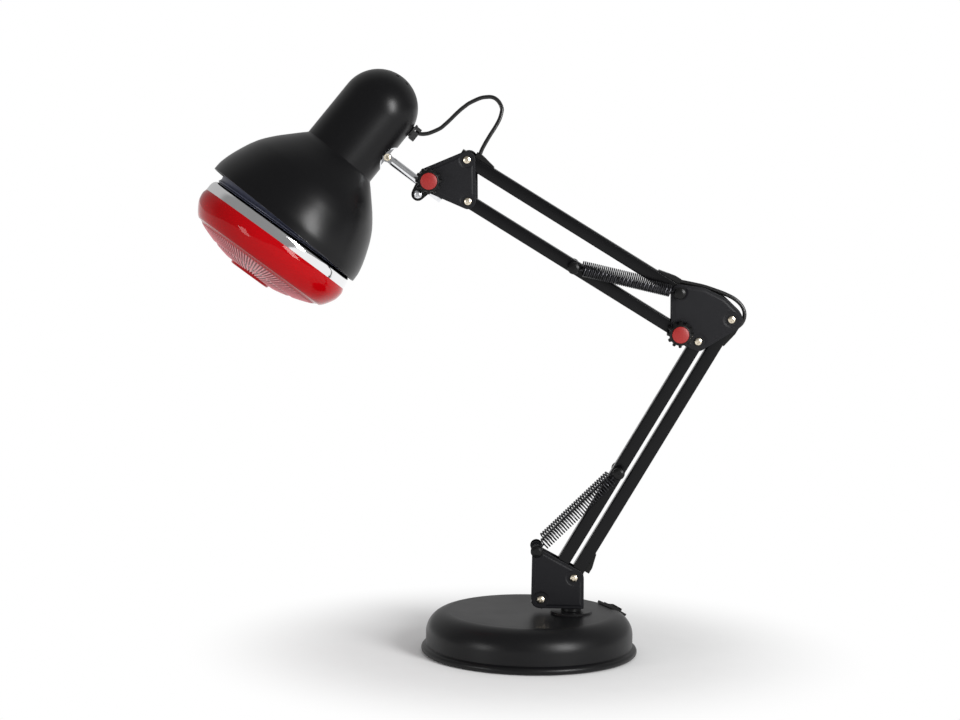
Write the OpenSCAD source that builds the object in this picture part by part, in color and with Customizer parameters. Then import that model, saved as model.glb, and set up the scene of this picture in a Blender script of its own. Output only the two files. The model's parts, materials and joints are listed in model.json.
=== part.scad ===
// Desk lamp with a reflector heat bulb on a sprung parallel-bar arm.
// Origin: centre of the base's underside. +Z is up, the head reaches out towards -X,
// and the arm lies in the plane Y = 0.

/* [Base] */
// Diameter over the rolled edge
base_d = 160; // [150:1:170]
// Height of the flat top above the table
base_h = 31; // [29:0.5:34]
// Radius of the rounded shoulder
shoulder_r = 16; // [12:1:18]
// Thickness of the pressed steel
sheet = 1; // [0.8:0.1:1.2]

/* [Post] */
// Distance of the swivel post from the centre of the base
post_x = 30.6; // [26:0.2:34]
// Diameter of the swivel pin
post_d = 8; // [7:0.5:8]

/* [Arms] */
// Width of the square tubes
bar_w = 9.5; // [9:0.1:9.6]
// Wall of the square tubes
bar_wall = 1; // [0.8:0.1:1.4]
// Lower arm, pivot to pivot
lower_len = 224; // [210:1:240]
// Upper arm, pivot to pivot
upper_len = 183; // [170:1:200]
// Lower arm above the horizontal
lower_angle = 60.3; // [58:0.1:64]
// Upper arm above the horizontal
upper_angle = 30.9; // [26:0.1:36]

/* [Joint plates] */
// Thickness of the side plates
plate_t = 1.5; // [1.2:0.1:1.6]
// Play between a plate and the bars beside it
play = 0.35; // [0.3:0.05:0.4]
// Radius of the pivot screws
screw_r = 1.7; // [1.5:0.1:1.9]
// Radial clearance of a turning fit
fit = 0.06; // [0.04:0.01:0.08]

/* [Springs] */
// Outside diameter of a spring
spring_d = 9.4; // [9:0.1:9.6]
// Diameter of the spring wire
wire_d = 1.1; // [1:0.1:1.2]
// Curls of each spring
curls = 20; // [16:1:21]
// Distance of a spring from the middle of the arm
spring_y = 11; // [10.8:0.1:11.4]

/* [Knobs] */
// Diameter of a clamping knob over its lobes
knob_d = 19.8; // [18:0.2:20]
// Lobes round a knob
knob_lobes = 12; // [8:1:14]

/* [Head] */
// Diameter of the bell's mouth
mouth_d = 129.4; // [128:0.2:131]
// Diameter of the socket housing
housing_d = 57.6; // [57.2:0.2:58.4]
// Lamp axis below the horizontal
head_angle = 51.7; // [45:0.1:60]
// Turn of the head about its rod
head_turn = -7.5; // [-15:0.5:15]
// Lean of the bulb and inner bell in the outer one
inner_lean = 3; // [0:0.2:3.4]
// Diameter of the reflector bulb
bulb_d = 124.5; // [122:0.5:126]

/* [Hidden] */
$fn = 64;

// --- Places in the plane of the arm, as [x, z]
function polar(a) = [cos(a), sin(a)];
function lerp(a, b, t) = a + (b - a) * t;
up_lower = polar(lower_angle);
up_upper = [-cos(upper_angle), sin(upper_angle)];
out_upper = [up_upper.y, -up_upper.x];
out_lower = [up_lower.y, -up_lower.x];
bracket_left = [post_x - 22.7, 41.4];
bracket_right = bracket_left + [24.0, 16.6];
bracket_ear = bracket_left + [-3.9, 37.2];
elbow_left = bracket_left + lower_len * up_lower;
elbow_right = bracket_right + lower_len * up_lower;
elbow_knob_at = elbow_left + [-13.4, 5.6];
upper_offset = [-1.2, 30.3];
elbow_top = elbow_knob_at + upper_offset;
head_low = elbow_knob_at + upper_len * up_upper;
head_high = elbow_top + upper_len * up_upper;
head_knob_at = head_low + [-28.6, 14.9];
lower_pin_at = bracket_left + 111 * up_lower;
upper_pin_at = elbow_knob_at + 92 * up_upper;

// --- Depths across the arm, measured from its middle
plate_in = bar_w / 2 + play;
plate_out = plate_in + plate_t;
bar_past = 6;
pin_r = 2;
pin_head_in = spring_y + 1.4;
nut_h = 2.4;
bolt_r = 2;
nut_r = 3.2;
screw_head_r = 2.9;
screw_head_h = 1.8;

// --- Base
edge_r = 2.7;
edge_at = [base_d / 2 - edge_r, edge_r + 0.3];
shoulder_at = [base_d / 2 - 3.4 - shoulder_r, base_h - shoulder_r];
flange_r = 16;
flange_h = 1.3;
block_bottom = base_h + 3.7;
block_top = 49.5;
switch_azimuth = 25;
switch_tilt = 30;
switch_seat = shoulder_r - 1.3;
inlet_azimuth = 65;
inlet_z = 11;

// --- Head, in the lamp's own frame: Z up the lamp from the middle of its mouth
rod_angle = 36.5;
rod_dir = [cos(rod_angle), -sin(rod_angle)];
rod_up = [sin(rod_angle), cos(rod_angle)];
rod_r = 3.25;
rod_from_knob = 5.9;
rod_reach = 34;
rod_len = 50;
hinge_at = head_knob_at - rod_from_knob * rod_up - rod_reach * rod_dir;
hinge_local = [27.3, 85.5];
ear_at = head_knob_at - 13.2 * rod_up;
mouth_r = mouth_d / 2;
housing_r = housing_d / 2;
neck_z = 64;
cap_z = 109.2;
scoop_at = [35.7, 85.5];
scoop_r = 12.3;
cup_out = 12.2;
cup_in = 11.4;
ear_in = 2.3;
ear_out = 3.5;
gland_z = 112.4;
vent_count = 8;
vent_ring = 11.3;

// --- Bulb, along the lamp's axis from the plane of the mouth
bulb_r = bulb_d / 2;
bulb_shift = 1.9;
seam_z = -12.3;
belly_z = -17;
face_z = -32.3;
face_r = 52.5;
face_bulge = 11.4;
button_r = 16.4;
glass = 1.2;

// --- Routes of the cables, [x, y, z] in the arm's frame, and where they pass from piece to piece
head_route = [[-91, 3.5, 384.5], [-87, 3.5, 383.3], [-83.5, 3.6, 383.4], [-80, 3.8, 384.2],
    [-73, 4.4, 387.4], [-69.3, 4.7, 390.4], [-65.5, 5, 394], [-62, 5.3, 397.6], [-58.5, 5.5, 401],
    [-55, 5.8, 403.9], [-51.5, 6, 406.4], [-44, 6, 410], [-38.5, 6, 411], [-35.5, 5.8, 410.9],
    [-33, 5.5, 410], [-31, 5.3, 408.4], [-29.5, 5, 406.4], [-28.4, 4.5, 404],
    [-28, 4, 401.4], [-29.5, 3, 395.5], [-32.5, 2, 389.6], [-36.3, 1, 383.5], [-40, 0.5, 377],
    [-42.5, 0, 371.8], [-43.4, 0, 368], [-43.2, 0, 365], [-41.9, 0, 362.2], [-39.5, 0, 359.9],
    [-36.6, 0, 357.8], [-33.2, 0, 355.7]];
head_splits = [0, 7, 13, 21, 29];
elbow_route = [[78.3, 0, 288.3], [82, 0, 286.3], [85.7, 0, 284.5], [89.5, 0, 283.1], [93, 0, 282.2],
    [99.5, 0, 280.9], [105.2, 0, 279.2], [113.6, 0, 277.6], [122.4, 0, 275.8],
    [131.3, 0, 273], [138, 0, 270.6], [144.6, 0, 267.4], [149.6, 0, 263.2], [152.2, 0, 258.6],
    [152.6, 0, 254], [151, 0, 249.6], [147.8, 0, 246.4], [144.8, 0, 244], [142, 0, 242.1],
    [139.4, 0, 240.2], [137.1, 0, 238], [134.9, 0, 235.3], [132.7, 0, 231.9]];
elbow_splits = [0, 9, 22];
cable_r = 1.6;

// ---------------------------------------------------------------- helpers

// Outline of a belt drawn tight round circles [x, z, r], given anticlockwise
function belt(c, step = 12) = [for (i = [0 : len(c) - 1])
    let (a = c[(i + len(c) - 1) % len(c)], b = c[i], d = c[(i + 1) % len(c)],
        from = tangent(a, b), turn = (tangent(b, d) - from + 720) % 360, n = ceil(turn / step) + 1)
    for (k = [0 : n]) [b.x, b.y] + b.z * polar(from + turn * k / n)];
// Direction of the outward normal of the belt's run from circle a to circle b
function tangent(a, b) =
    let (v = [b.x - a.x, b.y - a.y]) atan2(v.y, v.x) - 90 + asin((a.z - b.z) / norm(v)) ;

// A slab of a flat shape standing in the arm's plane, between two depths
module slab(y0, y1) {
    translate([0, y1, 0]) rotate([90, 0, 0]) linear_extrude(y1 - y0) children();
}
// A round bar across the arm
module across(at, r, y0, y1) {
    translate([at.x, y1, at.y]) rotate([90, 0, 0]) cylinder(r = r, h = y1 - y0);
}
// A flat-topped dome across the arm, growing from y0 towards side
module button_head(at, r, h, y0, side) {
    translate([at.x, y0, at.y]) rotate([-90 * side, 0, 0]) rotate_extrude()
        polygon([[0, 0], [r, 0], [r, h * 0.35], [r * 0.86, h * 0.72], [r * 0.5, h * 0.95], [0, h]]);
}
// Raised ring pressed round a hole
module boss_ring(at, y0, side) {
    translate([at.x, y0, at.y]) rotate([-90 * side, 0, 0]) rotate_extrude()
        polygon([[4.2, -0.2], [5.9, -0.2], [5.4, 0.45], [4.7, 0.45]]);
}
// Cross-headed screw through the plates, with its nut at the back
module pivot_screw(at) {
    cross_w = 0.8;
    difference() {
        union() {
            across(at, screw_r, -plate_out - 0.1, plate_out + nut_h + 0.6);
            button_head(at, screw_head_r, screw_head_h, -plate_out, -1);
        }
        for (a = [20, 110]) translate([at.x, -plate_out - screw_head_h, at.y]) rotate([0, a, 0])
            cube([3.6, 2.2, cross_w], center = true);
    }
    difference() {
        translate([at.x, plate_out + nut_h, at.y]) rotate([90, 0, 0]) cylinder(r = nut_r, h = nut_h, $fn = 6);
        across(at, screw_r + 0.02, plate_out - 1, plate_out + nut_h + 1);
    }
}
// Pin that carries a pair of springs, with a domed head at each end
module spring_pin(at, r) {
    across(at, r, -pin_head_in - 0.1, pin_head_in + 0.1);
    for (side = [-1, 1]) button_head(at, 4.5, 2.2, side * pin_head_in, side);
}
// Square tube between two pivots, with a running hole at each end and at each place in holes
module bar(from, to, hole_r, holes = []) {
    dir = (to - from) / norm(to - from);
    angle = atan2(dir.y, dir.x);
    long = norm(to - from) + 2 * bar_past;
    difference() {
        translate([from.x, 0, from.y]) rotate([0, -angle, 0]) translate([long / 2 - bar_past, 0, 0])
            difference() {
                cube([long, bar_w, bar_w], center = true);
                cube([long + 2, bar_w - 2 * bar_wall, bar_w - 2 * bar_wall], center = true);
            }
        for (p = [from, to]) across(p, hole_r, -bar_w, bar_w);
        for (p = holes) across(p, pin_r + 0.02, -bar_w, bar_w);
    }
}
// Points of the outline q, given as [along, out] from a pivot, on the face of a bar
function on_bar(from, dir, out, q) = [for (p = q) from + p.x * dir + (p.y + bar_w / 2) * out];
// Wedge-shaped cable clip on a bar, open at its thick end and over the slot in the bar
module cable_clip(from, dir, out, start, finish) {
    difference() {
        slab(-3.6, 3.6) polygon(on_bar(from, dir, out,
            [[start, 0], [finish, 0], [finish, 0.9], [start + 5, 3.5], [start, 3.5]]));
        slab(-2, 2) polygon(on_bar(from, dir, out,
            [[start - 1, -1], [finish - 2.5, -1], [finish - 2.5, 0.1], [start + 8, 4], [start - 1, 4]]));
    }
}
// The slot that the cable goes through, in the wall of the bar under its clip
module cable_slot(from, dir, out, start, finish) {
    slab(-2.1, 2.1) polygon(on_bar(from, dir, out, [[start, -2], [finish, -2], [finish, 1], [start, 1]]));
}
// Lobed clamping knob on the front of the plates, and the cap set into it
module knob(at) {
    r = knob_d / 2;
    base_y = -plate_out - 0.5;
    difference() {
        slab(base_y - 8, base_y) difference() {
            translate(at) circle(r = r - 1.6);
            for (i = [0 : knob_lobes - 1]) translate(at + (r + 0.3) * polar(i * 360 / knob_lobes))
                circle(r = 1.5, $fn = 24);
        }
        across(at, bolt_r + fit, base_y - 7, base_y + 1);
        across(at, 6.3, base_y - 9, base_y - 7.3);
    }
    difference() {
        for (i = [0 : knob_lobes - 1]) slab(base_y - 6.4, base_y - 1.2)
            translate(at + (r - 1.5) * polar((i + 0.5) * 360 / knob_lobes)) circle(r = 1.5, $fn = 24);
        across(at, r - 2.2, base_y - 9, base_y + 1);
    }
}
module knob_cap(at) {
    button_head(at, 6.2, 2.3, -plate_out - 0.5 - 7.3, -1);
}
// Clamping bolt with a domed head behind the plates
module clamp_bolt(at) {
    across(at, bolt_r, -plate_out - 0.5 - 6.6, plate_out + 0.1);
    button_head(at, 4.6, 2.6, plate_out, 1);
}

// Frames carried along a path without twist, as [tangent, normal] for each point
function unit(v) = v / norm(v);
function path_dir(p, i) = unit(p[min(i + 1, len(p) - 1)] - p[max(i - 1, 0)]);
function carried(n, t) = unit(n - (n * t) * t);
function frames(p, first) = [for (i = 0, t = path_dir(p, 0), n = carried(first, t); i < len(p);
    i = i + 1, t = path_dir(p, min(i, len(p) - 1)), n = carried(n, t)) [t, n]];
// One closed tube swept along the points p, from one of them to another
module tube(p, r, sides, from, to) {
    f = frames(p, [0, 1, 0]);
    points = [for (i = [from : to]) for (k = [0 : sides - 1])
        let (a = 360 * k / sides) p[i] + r * (cos(a) * f[i][1] + sin(a) * cross(f[i][0], f[i][1]))];
    last = (to - from) * sides;
    walls = [for (i = [0 : to - from - 1]) for (k = [0 : sides - 1]) let (a = i * sides + k,
        b = i * sides + (k + 1) % sides) each [[a, a + sides, b], [b, a + sides, b + sides]]];
    ends = [for (k = [1 : sides - 2]) each [[0, k, k + 1], [last, last + k + 1, last + k]]];
    polyhedron(points = points, faces = concat(walls, ends));
}
// Points of a spring from the loop on pin a to just short of its far hook on pin b
hook_r = pin_r + wire_d / 2 + 0.25;
coil_r = (spring_d - wire_d) / 2;
lead = 7.5;
tail = 8;
function spring_points(a, b, y) = let (v = b - a, d = v / norm(v), s = [-d.y, d.x],
        long = norm(v) - lead - tail, turn0 = 90)
    concat(
        [for (i = [0 : 6]) let (q = a + hook_r * (cos(60 + 50 * i) * d + sin(60 + 50 * i) * s))
            [q.x, y, q.y]],
        [for (q = [[hook_r + 1.2, 0.4], [lead - 1.6, 0.3]]) let (w = a + q.x * d + q.y * s) [w.x, y, w.y]],
        [for (i = [0 : 8 * curls]) let (w = a + (lead + long * i / (8 * curls)) * d
                + coil_r * sin(turn0 + 45 * i) * s) [w.x, y + coil_r * cos(turn0 + 45 * i), w.y]],
        [for (q = [[lead + long + 0.9, 0.8], [lead + long + 2.1, 0]]) let (w = a + q.x * d + q.y * s)
            [w.x, y, w.y]]);
// The far hook: straight off the spring's end, then round pin b
function hook_points(a, b, y) = let (v = b - a, d = v / norm(v), s = [-d.y, d.x], end = norm(v) - tail + 2.4)
    concat([for (t = [end, end + 1.3]) let (w = a + t * d) [w.x, y, w.y]],
        [for (i = [0 : 6]) let (q = b + hook_r * (cos(205 - 50 * i) * d + sin(205 - 50 * i) * s))
            [q.x, y, q.y]]);
// Least gap between the wire's surface and itself, away from neighbouring rings
function least_gap(p) = min([for (i = [0 : len(p) - 7]) for (j = [i + 6 : len(p) - 1])
    norm(p[i] - p[j])]) - wire_d;
lower_spring_path = spring_points(bracket_ear, lower_pin_at, -spring_y);
upper_spring_path = spring_points(elbow_top, upper_pin_at, -spring_y);
echo(lower_spring_gap = least_gap(lower_spring_path), upper_spring_gap = least_gap(upper_spring_path));
module whole_tube(p, r, sides) { tube(p, r, sides, 0, len(p) - 1); }
module spring(a, b, y) { whole_tube(spring_points(a, b, y), wire_d / 2, 6); }
module hooks(a, b) { for (y = [-spring_y, spring_y]) whole_tube(hook_points(a, b, y), wire_d / 2, 6); }
module cable(route, splits, i) { tube(route, cable_r, 8, splits[i], splits[i + 1]); }

// Puts children drawn in the lamp's own frame where the lamp hangs
module lamp_place() {
    translate([hinge_at.x, 0, hinge_at.y]) rotate(a = head_turn, v = [rod_dir.x, 0, rod_dir.y])
        rotate([0, 90 - head_angle, 0]) translate([-hinge_local.x, 0, -hinge_local.y]) children();
}
// Puts children of the lamp's frame on the leaning axis of the bulb
module lean() {
    translate([bulb_shift, 0, belly_z]) rotate([0, -inner_lean, 0]) translate([0, 0, -belly_z]) children();
}
// Puts children with +X along the rod, starting at the hinge
module rod_place() {
    translate([hinge_at.x, 0, hinge_at.y]) rotate(a = head_turn, v = [rod_dir.x, 0, rod_dir.y])
        rotate([0, rod_angle, 0]) children();
}
// Puts children with +Z out through the back of the base, where the mains lead comes in
module inlet_place() {
    rotate([0, 0, inlet_azimuth]) translate([60, 0, inlet_z]) rotate([0, 90, 0]) children();
}
module switch_place() {
    rotate([0, 0, switch_azimuth]) translate([shoulder_at.x, 0, shoulder_at.y]) rotate([0, switch_tilt, 0])
        children();
}
// Points of an arc about c from angle a to angle b
function arc(c, r, a, b, n = 10) = [for (i = [0 : n]) c + r * polar(lerp(a, b, i / n))];

// ---------------------------------------------------------------- base

module base_solid(grow, bottom) {
    rotate_extrude($fn = 96) polygon(concat([[0, bottom], [shoulder_at.x + shoulder_r + grow, bottom]],
        arc(shoulder_at, shoulder_r + grow, 0, 90), [[0, base_h + grow]]));
}
module base_shell() {
    color([0.06, 0.06, 0.065]) difference() {
        union() {
            difference() {
                base_solid(0, 5);
                base_solid(-sheet, -1);
                switch_place() translate([-10, -14, switch_seat]) cube([20, 28, 20]);
            }
            intersection() {
                base_solid(0, 5);
                switch_place() translate([-11, -15, switch_seat - 1.6]) cube([22, 30, 1.6]);
            }
            rotate_extrude($fn = 96) difference() {
                translate(edge_at) circle(r = edge_r, $fn = 32);
                square([edge_at.x - 1, 2 * base_h]);
            }
        }
        switch_place() translate([-5.6, -8.6, 0]) cube([11.2, 17.2, 30]);
        translate([post_x, 0, 15]) cylinder(r = 4.05, h = 40);
        inlet_place() cylinder(r = 3.5, h = 20);
    }
}
module base_weight() {
    color([0.3, 0.3, 0.31]) difference() {
        translate([0, 0, 1.5]) cylinder(r = 70, h = 10.5);
        translate([post_x, 0, 0]) cylinder(r = 4.05, h = 40);
        rotate([0, 0, inlet_azimuth]) translate([58, -8, 0]) cube([20, 16, 20]);
    }
}
module base_pad() {
    color([0.1, 0.1, 0.1]) cylinder(r = 72, h = 1.5);
}
module switch_housing() {
    color([0.05, 0.05, 0.05]) switch_place() difference() {
        union() {
            translate([-7.5, -10.5, switch_seat]) cube([15, 21, 1.8]);
            translate([-5.5, -8.5, switch_seat - 9]) cube([11, 17, 10]);
        }
        translate([-4.6, -7.6, switch_seat - 6]) cube([9.2, 15.2, 12]);
    }
}
// The rocker turns about the axis across it, where its two faces meet
module switch_rocker() {
    face = [[-6.9, -1.6], [6.9, -1.6], [6.9, 3.9], [0, 2.6], [-6.9, 2.6]];
    color([0.07, 0.07, 0.07]) switch_place() translate([0, 0, switch_seat]) intersection() {
        translate([4.3, 0, 0]) rotate([90, 0, -90]) linear_extrude(8.6) polygon(face);
        translate([-5, 0, 0.4]) rotate([0, 90, 0]) cylinder(r = 7.3, h = 10);
    }
}
module post() {
    color([0.08, 0.08, 0.085]) translate([post_x, 0, 0]) {
        translate([0, 0, 2.7]) cylinder(r = post_d / 2, h = block_top - 3);
        translate([0, 0, base_h]) cylinder(r1 = flange_r, r2 = flange_r - 1, h = flange_h);
    }
}
module cord_inlet() {
    wall_r = base_d / 2 - 3.4;
    color([0.05, 0.05, 0.05]) inlet_place() difference() {
        union() {
            translate([0, 0, wall_r - 66.6]) cylinder(r = 3.45, h = 8);
            translate([0, 0, wall_r - 59.8]) cylinder(r = 5, h = 2.4);
        }
        cylinder(r = 2.2, h = 40);
    }
}

// ---------------------------------------------------------------- swivelling bracket

bracket_outline = [[6.9, 40.8, 6], [39.2, 35.4, 0.5], [32.4, 57.6, 7], [5.6, 74.3, 4.7]];
module bracket_plate(y0, y1) {
    difference() {
        slab(y0, y1) {
            polygon(belt([for (c = bracket_outline) c + [post_x - 30.6, 0, 0]]));
            translate(bracket_ear) circle(r = 4.2);
        }
        for (p = [bracket_left, bracket_right]) across(p, screw_r + 0.02, y0 - 1, y1 + 1);
        across(bracket_ear, pin_r + 0.02, y0 - 1, y1 + 1);
    }
}
module bracket_front() {
    color([0.09, 0.09, 0.1]) {
        bracket_plate(-plate_out, -plate_in);
        for (p = [bracket_left, bracket_right]) boss_ring(p, -plate_out, -1);
    }
}
module bracket_back() {
    color([0.09, 0.09, 0.1]) bracket_plate(plate_in, plate_out);
}
module bracket_block() {
    color([0.07, 0.07, 0.08]) difference() {
        union() {
            translate([post_x - 9.6, -plate_in, block_bottom]) cube([18.4, 2 * plate_in, block_top - block_bottom]);
            translate([post_x, 0, base_h + flange_h + 0.35])
                cylinder(r = 7.5, h = block_bottom - base_h - flange_h - 0.35);
        }
        translate([post_x, 0, base_h]) cylinder(r = post_d / 2 + fit, h = 30);
    }
}
module bracket_screws() {
    color([0.75, 0.7, 0.6]) for (p = [bracket_left, bracket_right]) pivot_screw(p);
}
module bracket_pin() {
    color([0.05, 0.05, 0.05]) spring_pin(bracket_ear, pin_r);
}

// ---------------------------------------------------------------- lower arm

module lower_bar_left() {
    color([0.07, 0.07, 0.08]) bar(bracket_left, elbow_left, screw_r + fit, [lower_pin_at]);
}
module lower_pin() {
    color([0.05, 0.05, 0.05]) spring_pin(lower_pin_at, pin_r);
}
module lower_bar_right() {
    color([0.07, 0.07, 0.08]) difference() {
        bar(bracket_right, elbow_right, screw_r + fit);
        cable_slot(elbow_right, -up_lower, out_lower, 3.6, 17.5);
        cable_slot(bracket_right, up_lower, out_lower, 9, 20);
    }
}
module lower_clips() {
    color([0.05, 0.05, 0.05]) {
        cable_clip(elbow_right, -up_lower, out_lower, 3, 20);
        cable_clip(bracket_right, up_lower, out_lower, 8, 23);
    }
}
module lower_spring_front() {
    color([0.1, 0.1, 0.1]) spring(bracket_ear, lower_pin_at, -spring_y);
}
module lower_spring_back() {
    color([0.1, 0.1, 0.1]) spring(bracket_ear, lower_pin_at, spring_y);
}
module lower_spring_hooks() {
    color([0.1, 0.1, 0.1]) hooks(bracket_ear, lower_pin_at);
}

// ---------------------------------------------------------------- elbow

module elbow_plate(y0, y1) {
    k = elbow_knob_at;
    circles = [[0, 0, 6.6], [13.4, -5.6, 7.2], [37.4, 11, 8.2], [25, 16.1, 13], [13.5, 21, 13.4],
        [upper_offset.x, upper_offset.y, 6]];
    difference() {
        slab(y0, y1) polygon(belt([for (c = circles) [k.x + c.x, k.y + c.y, c.z]]));
        for (p = [elbow_left, elbow_right]) across(p, screw_r + 0.02, y0 - 1, y1 + 1);
        for (p = [k, elbow_top]) across(p, pin_r + 0.02, y0 - 1, y1 + 1);
    }
}
module elbow_front() {
    color([0.09, 0.09, 0.1]) {
        elbow_plate(-plate_out, -plate_in);
        for (p = [elbow_left, elbow_right]) boss_ring(p, -plate_out, -1);
    }
}
module elbow_back() {
    color([0.09, 0.09, 0.1]) elbow_plate(plate_in, plate_out);
}
module elbow_screws() {
    color([0.75, 0.7, 0.6]) for (p = [elbow_left, elbow_right]) pivot_screw(p);
}
module elbow_pin() {
    color([0.05, 0.05, 0.05]) spring_pin(elbow_top, pin_r);
}
module elbow_bolt() {
    color([0.6, 0.6, 0.6]) clamp_bolt(elbow_knob_at);
}
module elbow_knob() {
    color([0.06, 0.06, 0.06]) knob(elbow_knob_at);
}
module elbow_knob_cap() {
    color([0.75, 0.06, 0.06]) knob_cap(elbow_knob_at);
}

// ---------------------------------------------------------------- upper arm

module upper_bar_low() {
    color([0.07, 0.07, 0.08]) bar(elbow_knob_at, head_low, pin_r + fit, [upper_pin_at]);
}
module upper_pin() {
    color([0.05, 0.05, 0.05]) spring_pin(upper_pin_at, pin_r);
}
module upper_bar_top() {
    color([0.07, 0.07, 0.08]) difference() {
        bar(elbow_top, head_high, pin_r + fit);
        cable_slot(head_high, -up_upper, out_upper, 4.4, 15.5);
        cable_slot(elbow_top, up_upper, out_upper, 4.4, 19);
    }
}
module upper_clips() {
    color([0.05, 0.05, 0.05]) {
        cable_clip(head_high, -up_upper, out_upper, 3.8, 20);
        cable_clip(elbow_top, up_upper, out_upper, 3, 21);
    }
}
module upper_spring_front() {
    color([0.1, 0.1, 0.1]) spring(elbow_top, upper_pin_at, -spring_y);
}
module upper_spring_back() {
    color([0.1, 0.1, 0.1]) spring(elbow_top, upper_pin_at, spring_y);
}
module upper_spring_hooks() {
    color([0.1, 0.1, 0.1]) hooks(elbow_top, upper_pin_at);
}

// ---------------------------------------------------------------- head plates and rod

module head_plate(y0, y1, extra) {
    difference() {
        slab(y0, y1) polygon(belt([[head_knob_at.x, head_knob_at.y, 8.6],
            [head_low.x + extra, head_low.y, 5.8], [head_high.x + extra, head_high.y, 6.2]]));
        for (p = [head_low, head_high]) across(p, screw_r + 0.02, y0 - 1, y1 + 1);
        across(head_knob_at, bolt_r + 0.02, y0 - 1, y1 + 1);
    }
}
module head_plate_front() {
    color([0.09, 0.09, 0.1]) {
        head_plate(-plate_out, -plate_in, 0);
        for (p = [head_low, head_high]) boss_ring(p, -plate_out, -1);
    }
}
module head_plate_back() {
    color([0.09, 0.09, 0.1]) head_plate(plate_in, plate_out, 1.5);
}
module head_plate_screws() {
    color([0.75, 0.7, 0.6]) for (p = [head_low, head_high]) pivot_screw(p);
}
module head_bolt() {
    color([0.6, 0.6, 0.6]) clamp_bolt(head_knob_at);
}
module head_knob() {
    color([0.06, 0.06, 0.06]) knob(head_knob_at);
}
module head_knob_cap() {
    color([0.75, 0.06, 0.06]) knob_cap(head_knob_at);
}
module clamp_half(y0, y1) {
    difference() {
        slab(y0, y1) polygon(belt([[head_knob_at.x, head_knob_at.y, 7.6], [ear_at.x, ear_at.y, 4.8]]));
        translate([hinge_at.x, 0, hinge_at.y]) rotate([0, 90 + rod_angle, 0]) cylinder(r = rod_r + fit, h = 80);
        across(head_knob_at, bolt_r + fit, y0 - 1, y1 + 1);
        across(ear_at, 1.52, y0 - 1, y1 + 1);
    }
}
clamp_in = 0.3;
clamp_out = plate_in - 0.3;
module clamp_front() {
    color([0.08, 0.08, 0.085]) clamp_half(-clamp_out, -clamp_in);
}
module clamp_back() {
    color([0.08, 0.08, 0.085]) clamp_half(clamp_in, clamp_out);
}
module clamp_screw() {
    color([0.78, 0.76, 0.72]) difference() {
        union() {
            across(ear_at, 1.5, -clamp_out - 0.1, clamp_out + 1);
            button_head(ear_at, 3.1, 1.7, -clamp_out, -1);
        }
        for (a = [40, 130]) translate([ear_at.x, -clamp_out - 1.7, ear_at.y]) rotate([0, a, 0])
            cube([4, 2, 0.9], center = true);
    }
}
module rod() {
    tab_h = 4;
    color([0.85, 0.86, 0.88]) rod_place() difference() {
        union() {
            translate([4.6, 0, 0]) rotate([0, 90, 0]) cylinder(r = rod_r, h = rod_len - 4.6);
            translate([0, tab_h / 2, 0]) rotate([90, 0, 0]) cylinder(r = 2.8, h = tab_h);
            translate([0, -tab_h / 2, -2.8]) cube([6, tab_h, 5.6]);
        }
        rotate([90, 0, 0]) cylinder(r = 1.5 + fit, h = 20, center = true);
    }
}

// ---------------------------------------------------------------- lamp head

// Cylinder across the lamp at a place [x, z] of its own frame
module lamp_across(at, r, y0, y1) {
    translate([at.x, y1, at.y]) rotate([90, 0, 0]) cylinder(r = r, h = y1 - y0);
}
// Bracket on the housing: a curved cup that lines the scoop, and two ears for the rod
module hinge_bracket() {
    color([0.85, 0.86, 0.88]) lamp_place() difference() {
        union() {
            intersection() {
                difference() {
                    lamp_across(scoop_at, cup_out, -17, 17);
                    lamp_across(scoop_at, cup_in, -18, 18);
                }
                cylinder(r = housing_r - 0.1, h = 130);
            }
            for (y = [-ear_out, ear_in]) {
                intersection() {
                    lamp_across(scoop_at, cup_in + 0.3, y, y + ear_out - ear_in);
                    translate([0, -20, 60]) cube([hinge_local.x, 40, 50]);
                }
                lamp_across(hinge_local, 3.4, y, y + ear_out - ear_in);
            }
        }
        lamp_across(hinge_local, 1.52, -20, 20);
    }
}
module hinge_screw() {
    color([0.8, 0.66, 0.4]) lamp_place() {
        difference() {
            union() {
                lamp_across(hinge_local, 1.5, -ear_out - 0.1, ear_out + 2.4);
                button_head(hinge_local, 2.7, 1.6, -ear_out, -1);
            }
            translate([hinge_local.x, -ear_out - 1.6, hinge_local.y]) rotate([0, 35, 0])
                cube([6, 1.6, 0.7], center = true);
        }
        difference() {
            translate([hinge_local.x, ear_out + 2.2, hinge_local.y]) rotate([90, 0, 0])
                cylinder(r = 2.9, h = 2.2, $fn = 6);
            lamp_across(hinge_local, 1.52, 0, 20);
        }
    }
}
// Bell: a dome that runs on as a cone, with a small hollow where it meets the neck
bell_drop = [[0, 0], [0.3, 6], [1.6, 12], [3.5, 18], [5.8, 24], [8.4, 30], [11.6, 36], [14.3, 40],
    [17.4, 44], [20.8, 48], [24.5, 52], [28.3, 56], [32.1, 60]];
function bell_points(r, neck) = concat([for (p = bell_drop) [r - p[0], p[1]]],
    [[neck + 2.2, 61.6], [neck + 0.9, 62.9], [neck, neck_z]]);
module shade() {
    outer = bell_points(mouth_r, housing_r);
    inner = bell_points(mouth_r - sheet, housing_r - sheet);
    color([0.06, 0.06, 0.065]) lamp_place() rotate_extrude($fn = 96)
        polygon(concat(outer, [for (i = [len(inner) - 1 : -1 : 0]) inner[i]]));
}
module housing_solid(r, z0) {
    translate([0, 0, z0]) cylinder(r = r, h = cap_z - z0, $fn = 96);
    translate([0, 0, cap_z]) rotate_extrude($fn = 96) intersection() {
        circle(r = r, $fn = 96);
        square(r);
    }
}
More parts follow.
